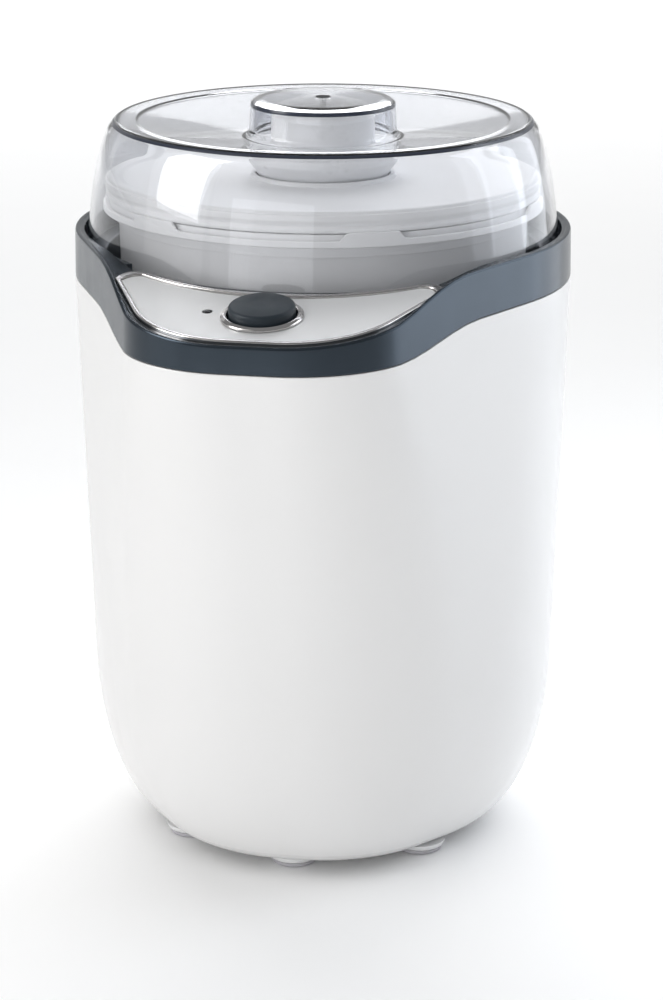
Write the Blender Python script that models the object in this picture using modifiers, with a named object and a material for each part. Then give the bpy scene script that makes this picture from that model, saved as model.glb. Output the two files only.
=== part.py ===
"""Countertop ice cream maker with a freezer bowl, a still paddle and a clear dome lid.

The origin is on the ground under the middle of the housing, +Z is up and the control panel
faces -Y. Lengths are millimetres counted from the bowl's axis, which add_object moves back from
the origin and turns into metres.
"""
import math

import bmesh
import bpy

MM = 0.001

# ---- Housing outline: a big circle with a smaller, blunt nose in front, joined by tangents ----
BODY_RADIUS = 107.5
NOSE_RADIUS = 52.0
NOSE_SPREAD = 10.0
NOSE_REACH = 106.0
WAIST_RADIUS = 102.3
WAIST_NOSE_RADIUS = 86.0
WAIST_NOSE_SPREAD = 4.0
WAIST_NOSE_REACH = 22.0
AXIS_SHIFT = (NOSE_REACH + NOSE_RADIUS - BODY_RADIUS) / 2
NOSE_POINTS = 5
TANGENT_POINTS = 5
SIDE_POINTS = 10

# ---- Heights of the housing ----
BASE_Z = 5.0
WAIST_Z = 85.0
COLLAR_BOTTOM_Z = 249.8
COLLAR_NOSE_BOTTOM_Z = 241.8
COLLAR_TOP_Z = 270.0
UNDERCUT = 32.0
SHELL_SPLIT = 20.0
WALL = 2.5
GAP = 0.3

# ---- Control panel: a plane that falls towards the front ----
PANEL_TILT = math.radians(9.5)
BUTTON_Y = -127.0
BUTTON_Z = 257.9
DECK_THICK = 3.8
SKIRT = 6.0
SKIRT_SHARE = 0.963
POCKET_DEPTH = 1.7
TRIM_WIDTH = 2.0
TRIM_RISE = 0.8
PANEL_ARC = 104.8
PANEL_INSET = 4.0
COLLAR_BORE = 103.2
BUTTON_RADIUS = 13.5
RING_RADIUS = 16.8
STEM_RADIUS = 3.0
LENS_X = -23.0
LENS_Y = -124.0
LENS_RADIUS = 1.9

# ---- Well, drive and motor ----
WELL_TOP_Z = 260.7
WELL_FLOOR_Z = 101.0
SHAFT_RADIUS = 5.0
FINAL_MODULE = 1.5
OUTPUT_TEETH = 36
IDLER_PINION_TEETH = 12
FIRST_MODULE = 1.0
IDLER_TEETH = 40
MOTOR_TEETH = 12
IDLER_BEARING = 140.0
MOTOR_RADIUS = 24.0
MOTOR_BASE_Z = 26.0
CASE_FLOOR_Z = 72.0
CASE_CENTRE = (8.0, 11.0)
CASE_RADIUS = 46.7
BACKLASH = 0.16
MOTOR_BOLT = 15.0
POST_FOOT_Z = 8.0
POST_CIRCLE = 64.0
POST_ANGLES = (62.0, 118.0, 242.0, 298.0)

# ---- Feet ----
FOOT_CIRCLE = 67.0
FOOT_ANGLES = (0.0, 50.0, 130.0, 180.0, 230.0, 310.0)
FOOT_RADIUS = 10.0

# ---- Cord grommet ----
GROMMET_Y = 103.0
GROMMET_Z = 96.0
GROMMET_HOLE = 4.0

# ---- Freezer bowl, paddle and lids ----
DISC_TOP_Z = 107.0
DISC_RADIUS = 30.0
BOWL_BOTTOM_Z = 107.5
HEX_RADIUS = 12.0
BOWL_TOP_Z = 277.0
BOWL_RADIUS = 88.3
FLANGE_RADIUS = 94.8
FLANGE_Z = 279.0
TAB_COUNT = 6
TAB_PHASE = 23.5
TAB_HALF = 8.4
TAB_RAMP = 1.9
TAB_RISE = 3.3
LUG_ANGLES = (-34.0, 86.0, 206.0)
LUG_TURN = -14.0
POT_FLOOR_Z = 131.0
PADDLE_WIDTH = 138.0
PADDLE_HEIGHT = 98.0
PADDLE_TOP_Z = 306.0
INNER_LID_RADIUS = 93.8
DOME_FOOT_RADIUS = 102.4
DOME_FOOT_Z = 261.2
DOME_RIM_Z = 316.6
PLATE_Z = 308.6
KNOB_RADIUS = 31.6
KNOB_TOP_Z = 325.4
BOSS_RADIUS = 22.0

ROUND = 32
MEDIUM = 20
SMALL = 8


# ------------------------------------------------------------------ scene and helpers
def clear_scene():
    for item in list(bpy.data.objects):
        bpy.data.objects.remove(item, do_unlink=True)


def make_collection(name):
    group = bpy.data.collections.new(name)
    bpy.context.scene.collection.children.link(group)
    return group


def make_material(name, colour, roughness, metallic=0.0):
    material = bpy.data.materials.new(name)
    material.use_nodes = True
    shader = material.node_tree.nodes["Principled BSDF"]
    shader.inputs["Base Color"].default_value = (*colour, 1.0)
    shader.inputs["Roughness"].default_value = roughness
    shader.inputs["Metallic"].default_value = metallic
    material.diffuse_color = (*colour, 1.0)
    return material


def add_object(name, mesh, material=None, location=(0.0, 0.0, 0.0), tilt=0.0, cutter=False):
    part = bpy.data.objects.new(name, mesh)
    x, y, z = location
    part.location = (x * MM, (y + AXIS_SHIFT) * MM, z * MM)
    part.rotation_euler = (tilt, 0.0, 0.0)
    if cutter:
        CUTTERS.objects.link(part)
        part.hide_render = True
        part.display_type = "WIRE"
    else:
        PARTS.objects.link(part)
        mesh.materials.append(material)
    return part


def mesh_from_bmesh(name, shape):
    bmesh.ops.recalc_face_normals(shape, faces=shape.faces[:])
    mesh = bpy.data.meshes.new(name)
    shape.to_mesh(mesh)
    shape.free()
    return mesh


def smooth(part, angle=35.0):
    part.data.shade_smooth()
    part.data.set_sharp_from_angle(angle=math.radians(angle))


def turned(name, profile, steps, material=None, closed=True, **placing):
    """Turn a profile of (radius, height) points about Z; it runs down its outer side."""
    mesh = bpy.data.meshes.new(name)
    points = [(radius * MM, 0.0, height * MM) for radius, height in profile]
    edges = [(i, i + 1) for i in range(len(points) - 1)]
    if closed:
        edges.append((len(points) - 1, 0))
    mesh.from_pydata(points, edges, [])
    part = add_object(name, mesh, material, **placing)
    screw = part.modifiers.new("turn", "SCREW")
    screw.axis = "Z"
    screw.angle = math.tau
    screw.steps = steps
    screw.render_steps = steps
    screw.use_merge_vertices = True
    screw.merge_threshold = 0.00002
    screw.use_smooth_shade = True
    return part


def loft(name, rings, material=None, wrap=False, **placing):
    """Join rings that have the same number of points; wrap joins the last ring to the first."""
    shape = bmesh.new()
    rows = [[shape.verts.new([v * MM for v in point]) for point in ring] for ring in rings]
    pairs = list(zip(rows, rows[1:]))
    if wrap:
        pairs.append((rows[-1], rows[0]))
    count = len(rows[0])
    for lower, upper in pairs:
        for i in range(count):
            j = (i + 1) % count
            shape.faces.new((lower[i], lower[j], upper[j], upper[i]))
    if not wrap:
        shape.faces.new(list(reversed(rows[0])))
        shape.faces.new(rows[-1])
    part = add_object(name, mesh_from_bmesh(name, shape), material, **placing)
    smooth(part)
    return part


def block(name, size, material=None, bevel=0.0, **placing):
    shape = bmesh.new()
    bmesh.ops.create_cube(shape, size=1.0)
    bmesh.ops.scale(shape, verts=shape.verts[:], vec=[value * MM for value in size])
    part = add_object(name, mesh_from_bmesh(name, shape), material, **placing)
    if bevel:
        edge = part.modifiers.new("edge", "BEVEL")
        edge.width = bevel * MM
        edge.segments = 1
    return part


def rod(name, radius, length, material=None, sides=SMALL, top_radius=None, **placing):
    """A cylinder or cone that stands on its location and rises along its own Z."""
    shape = bmesh.new()
    upper = radius if top_radius is None else top_radius
    bmesh.ops.create_cone(shape, cap_ends=True, segments=sides, radius1=radius * MM,
                          radius2=upper * MM, depth=length * MM)
    bmesh.ops.translate(shape, verts=shape.verts[:], vec=(0.0, 0.0, length * MM / 2))
    part = add_object(name, mesh_from_bmesh(name, shape), material, **placing)
    if material:
        smooth(part)
    return part


def combine(part, other, operation="DIFFERENCE"):
    step = part.modifiers.new(operation.lower(), "BOOLEAN")
    step.operation = operation
    step.object = other
    step.solver = "EXACT"


def ease(value, low, high):
    """Smooth step from 0 at low to 1 at high."""
    t = min(1.0, max(0.0, (value - low) / (high - low)))
    return t * t * (3.0 - 2.0 * t)


def mix(first, second, share):
    return first + (second - first) * share


def polar(radius, degrees):
    """A point at an angle counted from the front, -Y, towards +X."""
    angle = math.radians(degrees)
    return radius * math.sin(angle), -radius * math.cos(angle)


# ------------------------------------------------------------------ housing geometry
def plan(radius, nose, spread, reach, inset=0.0):
    """Outline of the housing, counter-clockwise from the front, moved in by inset."""
    tangent = math.atan2(spread, reach) + math.acos((radius - nose) / math.hypot(spread, reach))
    right = []
    for i in range(NOSE_POINTS + 1):
        angle = tangent * i / NOSE_POINTS
        right.append((spread + (nose - inset) * math.sin(angle),
                      -reach - (nose - inset) * math.cos(angle)))
    start = right[-1]
    end = ((radius - inset) * math.sin(tangent), -(radius - inset) * math.cos(tangent))
    for i in range(1, TANGENT_POINTS):
        share = i / TANGENT_POINTS
        right.append((mix(start[0], end[0], share), mix(start[1], end[1], share)))
    for i in range(SIDE_POINTS + 1):
        angle = mix(tangent, math.pi, i / SIDE_POINTS)
        right.append(((radius - inset) * math.sin(angle), -(radius - inset) * math.cos(angle)))
    left = [(-x, y) for x, y in reversed(right[:-1])]
    return right + left


def top_plan(inset=0.0):
    return plan(BODY_RADIUS, NOSE_RADIUS, NOSE_SPREAD, NOSE_REACH, inset)


def waist_plan(inset=0.0):
    return plan(WAIST_RADIUS, WAIST_NOSE_RADIUS, WAIST_NOSE_SPREAD, WAIST_NOSE_REACH, inset)


def wall_plan(share, inset=0.0):
    """Outline between the waist, share 0, and the collar, share 1."""
    nose_share = share ** 1.2
    return plan(mix(WAIST_RADIUS, BODY_RADIUS, share),
                mix(WAIST_NOSE_RADIUS, NOSE_RADIUS, nose_share),
                mix(WAIST_NOSE_SPREAD, NOSE_SPREAD, nose_share),
                mix(WAIST_NOSE_REACH, NOSE_REACH, nose_share), inset)


def panel_plane(y):
    return BUTTON_Z + math.tan(PANEL_TILT) * (y - BUTTON_Y)


def collar_bottom(y):
    return mix(COLLAR_NOSE_BOTTOM_Z, COLLAR_BOTTOM_Z, ease(y, -130.0, -80.0))


def collar_top(y):
    return mix(panel_plane(y) + 0.3, COLLAR_TOP_Z, ease(y, -132.0, -82.0))


def deck_height(y):
    """Top of the collar's deck: level with the panel in front, just under the rim at the sides."""
    return mix(panel_plane(y), COLLAR_TOP_Z - 0.4, ease(y, -96.0, -60.0))


def flat_ring(points, z):
    return [(x, y, z) for x, y in points]


def undercut(drop):
    """Inset and height of the rounded lower edge; drop is 0 at the waist and 1 underneath."""
    angle = drop * math.pi / 2
    return UNDERCUT * (1.0 - math.cos(angle)), WAIST_Z - (WAIST_Z - BASE_Z) * math.sin(angle)


def undercut_drop(inset):
    return math.acos(1.0 - inset / UNDERCUT) * 2 / math.pi


def body_shell():
    outer = []
    last = undercut_drop(SHELL_SPLIT)
    for i in range(4):
        outer.append(undercut(last * (1.0 - i / 4)))
    rings_out = [flat_ring(waist_plan(inset), z) for inset, z in outer]
    rings_in = [flat_ring(waist_plan(inset + WALL), z + 0.4) for inset, z in outer]
    for i in range(4):
        share = i / 3
        for rings, inset in ((rings_out, 0.0), (rings_in, WALL)):
            ring = []
            for x, y in wall_plan(share, inset):
                top = collar_bottom(y) - GAP
                ring.append((x, y, mix(WAIST_Z, top, share)))
            rings.append(ring)
    shell = loft("body_shell", rings_out + rings_in[::-1], WHITE_GLOSS, wrap=True)
    inlet = rod("cut_cord_inlet", 6.8, 20.0, sides=16, location=(0.0, GROMMET_Y - 8.0, GROMMET_Z),
                tilt=-math.pi / 2, cutter=True)
    combine(shell, inlet)
    return shell


def cord_grommet():
    """Flanged rubber sleeve in the back wall, with the hole that the cord goes through."""
    profile = [(8.6, 2.0), (8.6, 0.3), (6.4, 0.3), (6.4, -4.0), (7.6, -4.2), (7.0, -5.8),
               (GROMMET_HOLE, -5.8), (GROMMET_HOLE, 2.0)]
    return turned("cord_grommet", profile, 16, RUBBER, location=(0.0, GROMMET_Y, GROMMET_Z),
                  tilt=-math.pi / 2)


def base_plate():
    first = undercut_drop(SHELL_SPLIT + GAP)
    rings = []
    for share in (1.0, 0.85, first):
        inset, z = undercut(share)
        rings.append(flat_ring(waist_plan(inset), z))
    inset, z = undercut(first)
    rings.append(flat_ring(waist_plan(inset + 2.6), z + 0.4))
    rings.append(flat_ring(waist_plan(UNDERCUT + 1.0), BASE_Z + 2.6))
    plate = loft("base_plate", rings, WHITE_SATIN)
    for i in range(6):
        x, y = polar(30.0, 60.0 * i + 30.0)
        slot = block("cut_vent_%d" % (i + 1), (26.0, 4.0, 10.0), location=(x, y, BASE_Z),
                     cutter=True)
        slot.rotation_euler = (0.0, 0.0, math.radians(60.0 * i + 30.0))
        combine(plate, slot)
    for i, (x, y) in enumerate(post_places()):
        hole = turned("cut_base_screw_%d" % (i + 1),
                      [(0.0, 9.0), (2.1, 9.0), (2.1, 1.6), (3.9, 1.6), (3.9, -2.0), (0.0, -2.0)],
                      SMALL, closed=False, location=(x, y, BASE_Z), cutter=True)
        combine(plate, hole)
    return plate


def post_places():
    return [polar(POST_CIRCLE, angle) for angle in POST_ANGLES]


def feet():
    for i, angle in enumerate(FOOT_ANGLES):
        x, y = polar(FOOT_CIRCLE, angle)
        turned("foot_%d" % (i + 1),
               [(0.0, 4.7), (11.6, 4.7), (11.2, 3.6), (10.4, 2.3), (0.0, 2.3)],
               16, WHITE_SATIN, closed=False, location=(x, y, 0.0))
        turned("foot_pad_%d" % (i + 1),
               [(0.0, 2.0), (FOOT_RADIUS, 2.0), (FOOT_RADIUS - 0.2, 0.5), (FOOT_RADIUS - 0.8, 0.0),
                (0.0, 0.0)],
               16, RUBBER, closed=False, location=(x, y, 0.0))


def screw(name, place, head=3.2, shank=1.7, length=10.0, head_height=2.0, flip=False):
    """A pan-head screw with a cross recess; its head is below unless it is flipped."""
    profile = [(0.0, length), (shank, length - 1.2), (shank, 0.0), (head, 0.0),
               (head, -head_height * 0.6), (head * 0.7, -head_height),
               (head * 0.3, -head_height), (0.0, -head_height * 0.4)]
    part = turned(name, profile, SMALL, STEEL, closed=False, location=place)
    if flip:
        part.rotation_euler = (math.pi, 0.0, 0.0)
    return part


# ------------------------------------------------------------------ collar and control panel
def collar():
    bore = []
    for x, y in top_plan():
        scale = COLLAR_BORE / math.hypot(x, y)
        bore.append((x * scale, y * scale))
    section = [
        [(x, y, collar_bottom(y)) for x, y in top_plan()],
        [(x, y, collar_top(y) - 0.9) for x, y in top_plan(0.3)],
        [(x, y, collar_top(y)) for x, y in top_plan(1.2)],
        [(x, y, collar_top(y)) for x, y in top_plan(2.6)],
        [(x, y, min(deck_height(y), collar_top(y) - 0.2)) for x, y in top_plan(3.3)],
        [(x, y, deck_height(y)) for x, y in bore],
        [(x, y, deck_height(y) - DECK_THICK) for x, y in bore],
        [(x, y, min(deck_height(y), collar_top(y)) - DECK_THICK) for x, y in top_plan(4.05)],
        [(x, y, collar_bottom(y) - SKIRT) for x, y in wall_plan(SKIRT_SHARE, 4.0)],
        [(x, y, collar_bottom(y) - SKIRT) for x, y in wall_plan(SKIRT_SHARE, WALL + GAP)],
        [(x, y, collar_bottom(y)) for x, y in top_plan(WALL + GAP)],
    ]
    part = loft("collar", section, SLATE, wrap=True)
    combine(part, half_moon("cut_panel_pocket", 0.0, -POCKET_DEPTH, 6.0, cutter=True))
    axis = (0.0, BUTTON_Y, BUTTON_Z)
    combine(part, rod("cut_button_well", BUTTON_RADIUS + 0.7, 30.0, sides=MEDIUM, tilt=PANEL_TILT,
                      location=shift(axis, -15.0), cutter=True))
    combine(part, rod("cut_lens_well", LENS_RADIUS + 0.5, 30.0, sides=SMALL, tilt=PANEL_TILT,
                      location=shift((LENS_X, LENS_Y, panel_plane(LENS_Y)), -15.0), cutter=True))
    return part


def shift(place, rise):
    """Move a place along the panel's normal."""
    x, y, z = place
    return (x, y - rise * math.sin(PANEL_TILT), z + rise * math.cos(PANEL_TILT))


def half_moon_outline(inset):
    """The panel's outline, counter-clockwise: blunt nose curve, rounded tips, arc round the dome."""
    arc = PANEL_ARC + inset
    side = top_plan(PANEL_INSET + inset)
    tip_y = -95.0 - inset * 0.4
    start, end = side[NOSE_POINTS], side[NOSE_POINTS + TANGENT_POINTS]
    share = (tip_y - start[1]) / (end[1] - start[1])
    corner_out = (mix(start[0], end[0], share), tip_y)
    edge = side[:NOSE_POINTS + 1] + [corner_out]
    sweep = 34.0 - inset * 0.6
    corner_in = polar(arc, sweep)
    peak = (corner_out[0] - 2.2, corner_in[1] + 1.5 - inset * 0.4)
    tip = []
    for i in range(1, 5):
        t = i / 5
        tip.append(tuple(corner_out[k] * (1 - t) ** 2 + 2 * peak[k] * t * (1 - t)
                         + corner_in[k] * t * t for k in range(2)))
    inner = [polar(arc, sweep * (1 - i / 9)) for i in range(9)]
    right = edge + tip + inner
    middle = [(0.0, -arc)]
    return right + middle + [(-x, y) for x, y in reversed(right)]


def half_moon(name, inset, low, high, material=None, cutter=False):
    """A plate with the panel's outline between two heights over the panel's plane."""
    outline = half_moon_outline(inset)
    rings = [[(x, y, panel_plane(y) + level) for x, y in outline] for level in (low, high)]
    return loft(name, rings, material, cutter=cutter)


def control_panel():
    panel = half_moon("control_panel", GAP * 2 + TRIM_WIDTH, -POCKET_DEPTH + GAP, 0.0, PANEL_GREY)
    combine(panel, rod("cut_panel_button", RING_RADIUS - 1.7, 20.0, sides=MEDIUM, tilt=PANEL_TILT,
                       location=shift((0.0, BUTTON_Y, BUTTON_Z), -10.0), cutter=True))
    combine(panel, rod("cut_panel_lens", LENS_RADIUS + 0.3, 20.0, sides=SMALL, tilt=PANEL_TILT,
                       location=shift((LENS_X, LENS_Y, panel_plane(LENS_Y)), -10.0), cutter=True))
    return panel


def panel_trim():
    levels = ((GAP, -POCKET_DEPTH + GAP), (GAP, TRIM_RISE * 0.5), (GAP + 0.5, TRIM_RISE),
              (GAP + TRIM_WIDTH - 0.5, TRIM_RISE), (GAP + TRIM_WIDTH, TRIM_RISE * 0.4),
              (GAP + TRIM_WIDTH, -POCKET_DEPTH + GAP))
    rings = [[(x, y, panel_plane(y) + level) for x, y in half_moon_outline(inset)]
             for inset, level in levels]
    return loft("panel_trim", rings, CHROME, wrap=True)


def button_ring():
    inner = BUTTON_RADIUS + 0.6
    profile = [(RING_RADIUS, 1.2), (RING_RADIUS, 0.3), (RING_RADIUS - 2.0, 0.3),
               (RING_RADIUS - 2.0, -1.2), (inner, -1.2), (inner, 1.0), (inner + 0.8, 2.0),
               (RING_RADIUS - 0.8, 2.0)]
    return turned("button_ring", profile, 28, CHROME, tilt=PANEL_TILT,
                  location=(0.0, BUTTON_Y, BUTTON_Z))


def power_button():
    """Round cap with a skirt and a stem, on the panel's normal."""
    r = BUTTON_RADIUS
    profile = [(0.0, 6.0), (r * 0.6, 5.8), (r - 1.6, 5.3), (r - 0.4, 4.3), (r, 3.0), (r, -2.0),
               (r - 1.6, -2.0), (r - 1.6, 3.2), (STEM_RADIUS, 3.2), (STEM_RADIUS, -6.5),
               (0.0, -6.5)]
    return turned("power_button", profile, MEDIUM, SLATE, closed=False, tilt=PANEL_TILT,
                  location=(0.0, BUTTON_Y, BUTTON_Z))


def button_spring():
    """Coil round the stem, between the cap and the switch."""
    turns, radius, wire = 4, 5.2, 0.45
    low, high = -9.0, 2.9
    steps = turns * 10
    curve = bpy.data.curves.new("button_spring", "CURVE")
    curve.dimensions = "3D"
    curve.bevel_depth = wire * MM
    curve.bevel_resolution = 1
    curve.use_fill_caps = True
    spline = curve.splines.new("POLY")
    spline.points.add(steps)
    for i in range(steps + 1):
        angle = math.tau * turns * i / steps
        height = mix(low + wire, high - wire, i / steps)
        spline.points[i].co = (radius * math.cos(angle) * MM, radius * math.sin(angle) * MM,
                               height * MM, 1.0)
    part = add_object("button_spring", curve, STEEL, tilt=PANEL_TILT,
                      location=(0.0, BUTTON_Y, BUTTON_Z))
    weld = part.modifiers.new("close_caps", "WELD")
    weld.merge_threshold = 0.00001
    return part


def power_switch():
    axis = (0.0, BUTTON_Y, BUTTON_Z)
    return block("power_switch", (15.0, 15.0, 6.0), BLACK_PLASTIC, bevel=0.6, tilt=PANEL_TILT,
                 location=shift(axis, -9.2 - 3.0))


def circuit_board():
    axis = (0.0, BUTTON_Y, BUTTON_Z)
    return block("circuit_board", (66.0, 34.0, 1.6), BOARD_GREEN, tilt=PANEL_TILT,
                 location=shift(axis, -15.6 - 0.8))


def indicator_lens():
    return turned("indicator_lens",
                  [(0.0, 0.5), (LENS_RADIUS * 0.7, 0.35), (LENS_RADIUS, 0.0), (LENS_RADIUS, -5.0),
                   (0.0, -5.0)],
                  SMALL, LENS_DARK, closed=False, tilt=PANEL_TILT,
                  location=(LENS_X, LENS_Y, panel_plane(LENS_Y)))


# ------------------------------------------------------------------ well and drive
def inner_well():
    profile = [(102.5, WELL_TOP_Z), (102.5, WELL_TOP_Z - 2.4), (95.6, WELL_TOP_Z - 2.4),
               (95.2, 240.0), (91.0, WELL_FLOOR_Z + 6.0), (86.0, WELL_FLOOR_Z - 2.8),
               (8.4, WELL_FLOOR_Z - 2.8), (8.4, WELL_FLOOR_Z), (84.5, WELL_FLOOR_Z),
               (88.8, WELL_FLOOR_Z + 7.0), (93.0, 240.0), (93.4, WELL_TOP_Z)]
    well = turned("inner_well", profile, ROUND, CHARCOAL)
    for i, (x, y) in enumerate(post_places()):
        post = rod("join_post_%d" % (i + 1), 5.0, WELL_FLOOR_Z - 9.5, sides=SMALL,
                   location=(x, y, POST_FOOT_Z), cutter=True)
        combine(well, post, "UNION")
    for i, (x, y) in enumerate(post_places()):
        hole = rod("cut_post_%d" % (i + 1), 2.0, 12.0, sides=SMALL, location=(x, y, 6.0),
                   cutter=True)
        combine(well, hole)
    for i, (x, y) in enumerate(case_screw_places()):
        boss = rod("join_case_boss_%d" % (i + 1), 4.0, 7.0, sides=SMALL,
                   location=(x, y, WELL_FLOOR_Z - 9.0), cutter=True)
        combine(well, boss, "UNION")
        hole = rod("cut_case_screw_%d" % (i + 1), 2.0, 6.0, sides=SMALL,
                   location=(x, y, WELL_FLOOR_Z - 10.0), cutter=True)
        combine(well, hole)
    for i, angle in enumerate(LUG_ANGLES):
        hook = sector("join_hook_%d" % (i + 1), angle + LUG_TURN, 4.0,
                      [(96.4, 260.0), (97.6, 260.0), (97.6, 263.2), (99.0, 263.2), (99.0, 264.4),
                       (96.4, 264.4)], cutter=True)
        combine(well, hook, "UNION")
    return well


def sector(name, angle, half_width, section, material=None, cutter=False):
    """A block that follows an arc about Z, with a cross-section of (radius, height) points."""
    rings = []
    for i in range(4):
        turn = angle + half_width * (i / 1.5 - 1.0)
        rings.append([(*polar(radius, turn), height) for radius, height in section])
    return loft(name, rings, material, cutter=cutter)


def case_screw_places():
    """Three screws round the gearbox, just outside its wall."""
    places = []
    for angle in (0.0, 150.0, 235.0):
        x, y = polar(CASE_RADIUS + 4.0, angle)
        places.append((CASE_CENTRE[0] + x, CASE_CENTRE[1] + y))
    return places


def idler_place():
    distance = FINAL_MODULE * (OUTPUT_TEETH + IDLER_PINION_TEETH) / 2
    return polar(distance, IDLER_BEARING)


def motor_place():
    """On its bearing from the bowl's axis, one gear-pair distance from the idler."""
    x, y = idler_place()
    distance = FIRST_MODULE * (IDLER_TEETH + MOTOR_TEETH) / 2
    return 0.0, y + math.sqrt(distance ** 2 - x ** 2)


def gear(name, module, teeth, phase, height, material=None, **placing):
    """Straight-flanked gear with one tooth centred on the phase angle, counted from +X."""
    pitch = module * teeth / 2
    half = math.pi * module / 4 - BACKLASH
    slope = math.tan(math.radians(20.0))
    outline = []
    for i in range(teeth):
        centre = phase + math.tau * i / teeth
        for rise, side in ((-1.15, -1), (0.85, -1), (0.85, 1), (-1.15, 1)):
            radius = pitch + rise * module
            angle = centre + side * (half - rise * module * slope) / radius
            outline.append((radius * math.cos(angle), radius * math.sin(angle)))
    return loft(name, [flat_ring(outline, 0.0), flat_ring(outline, height)], material, **placing)


def bore(part, name, radius, place, length, sides=SMALL):
    combine(part, rod(name, radius, length, sides=sides, location=place, cutter=True))


def gear_train():
    idler_x, idler_y = idler_place()
    motor_x, motor_y = motor_place()
    first = math.atan2(idler_y, idler_x)
    second = math.atan2(motor_y - idler_y, motor_x - idler_x)
    output = gear("output_gear", FINAL_MODULE, OUTPUT_TEETH, first, 8.0, ACETAL,
                  location=(0.0, 0.0, 84.5))
    bore(output, "cut_output_bore", SHAFT_RADIUS + GAP, (0.0, 0.0, 80.0), 20.0, MEDIUM)
    idler = gear("idler_gear", FIRST_MODULE, IDLER_TEETH, second, 5.5, ACETAL,
                 location=(idler_x, idler_y, 77.0))
    step = math.pi / IDLER_PINION_TEETH
    pinion = gear("join_idler_pinion", FINAL_MODULE, IDLER_PINION_TEETH, first + math.pi + step,
                  11.0, cutter=True, location=(idler_x, idler_y, 82.0))
    combine(idler, pinion, "UNION")
    bore(idler, "cut_idler_bore", 2.8, (idler_x, idler_y, 70.0), 30.0)
    rod("idler_pin", 2.5, 26.0, STEEL, location=(idler_x, idler_y, CASE_FLOOR_Z - 0.5))
    step = math.pi / MOTOR_TEETH
    drive = gear("motor_pinion", FIRST_MODULE, MOTOR_TEETH, second + math.pi + step, 6.0, BRASS,
                 location=(motor_x, motor_y, 76.8))
    bore(drive, "cut_pinion_bore", 2.3, (motor_x, motor_y, 70.0), 20.0)


def gearbox_case():
    profile = [(0.0, CASE_FLOOR_Z + 2.0), (CASE_RADIUS - 2.0, CASE_FLOOR_Z + 2.0),
               (CASE_RADIUS - 2.0, 97.9), (CASE_RADIUS, 97.9), (CASE_RADIUS, CASE_FLOOR_Z + 2.0),
               (CASE_RADIUS - 2.0, CASE_FLOOR_Z), (0.0, CASE_FLOOR_Z)]
    case = turned("gearbox_case", profile, 30, BLACK_PLASTIC, closed=False,
                  location=(*CASE_CENTRE, 0.0))
    for i, (x, y) in enumerate(case_screw_places()):
        ear = rod("join_ear_%d" % (i + 1), 5.0, 3.0, sides=SMALL, location=(x, y, 88.4),
                  cutter=True)
        combine(case, ear, "UNION")
        bore(case, "cut_ear_%d" % (i + 1), 2.1, (x, y, 80.0), 20.0)
        bore(case, "cut_boss_%d" % (i + 1), 4.3, (x, y, 91.6), 10.0)
    x, y = idler_place()
    bore(case, "cut_pin_hole", 2.8, (x, y, CASE_FLOOR_Z - 3.0), 8.0)
    x, y = motor_place()
    bore(case, "cut_motor_pilot", 6.3, (x, y, CASE_FLOOR_Z - 3.0), 8.0, MEDIUM)
    for i, side in enumerate((-1, 1)):
        bore(case, "cut_motor_screw_%d" % (i + 1), 1.8, (x + side * MOTOR_BOLT, y, 65.0), 20.0)
    return case


def motor():
    x, y = motor_place()
    top = CASE_FLOOR_Z - GAP
    r = MOTOR_RADIUS
    can = turned("motor_can",
                 [(6.0, top + 1.8), (6.0, top), (r - 1.5, top), (r, top - 1.5),
                  (r, MOTOR_BASE_Z + 3.0), (r - 1.5, MOTOR_BASE_Z + 3.0), (r - 1.5, top - 2.0),
                  (3.0, top - 2.0), (3.0, top + 1.8)],
                 MEDIUM, STEEL, location=(x, y, 0.0))
    for i, side in enumerate((-1, 1)):
        bore(can, "cut_can_screw_%d" % (i + 1), 1.8, (x + side * MOTOR_BOLT, y, top - 6.0), 10.0)
    turned("motor_cap",
           [(0.0, MOTOR_BASE_Z + 0.5), (2.3, MOTOR_BASE_Z + 0.5), (2.3, MOTOR_BASE_Z + 2.7),
            (r, MOTOR_BASE_Z + 2.7), (r, MOTOR_BASE_Z + 1.0), (r - 1.0, MOTOR_BASE_Z),
            (7.0, MOTOR_BASE_Z), (6.0, MOTOR_BASE_Z - 2.0), (0.0, MOTOR_BASE_Z - 2.0)],
           MEDIUM, BLACK_PLASTIC, closed=False, location=(x, y, 0.0))
    turned("motor_rotor",
           [(0.0, 82.4), (2.0, 82.4), (2.0, 64.0), (8.0, 63.0), (18.5, 60.0), (18.5, 36.0),
            (8.0, 33.0), (2.0, 32.0), (2.0, MOTOR_BASE_Z + 0.9), (0.0, MOTOR_BASE_Z + 0.9)],
           16, COPPER, closed=False, location=(x, y, 0.0))


def turntable():
    top, r, foot = DISC_TOP_Z, DISC_RADIUS, CASE_FLOOR_Z + 2.4
    profile = [(0.0, top), (r - 2.0, top), (r, top - 1.0), (r, top - 3.5),
               (SHAFT_RADIUS * 2, top - 3.5), (SHAFT_RADIUS, top - 4.2),
               (SHAFT_RADIUS, foot + 0.6), (SHAFT_RADIUS - 1.0, foot), (0.0, foot)]
    disc = turned("turntable", profile, MEDIUM, ACETAL, closed=False)
    boss = rod("join_hex", HEX_RADIUS, 8.5, sides=6, top_radius=HEX_RADIUS - 1.0,
               location=(0.0, 0.0, DISC_TOP_Z - 1.0), cutter=True)
    combine(disc, boss, "UNION")
    return disc


def drive_bush():
    r = SHAFT_RADIUS + GAP
    profile = [(8.1, WELL_FLOOR_Z - 0.2), (8.1, 96.0), (r, 96.0), (r, 102.3), (11.0, 102.3),
               (11.0, WELL_FLOOR_Z + 0.3), (8.1, WELL_FLOOR_Z + 0.3)]
    return turned("drive_bush", profile, MEDIUM, BRASS)


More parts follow.
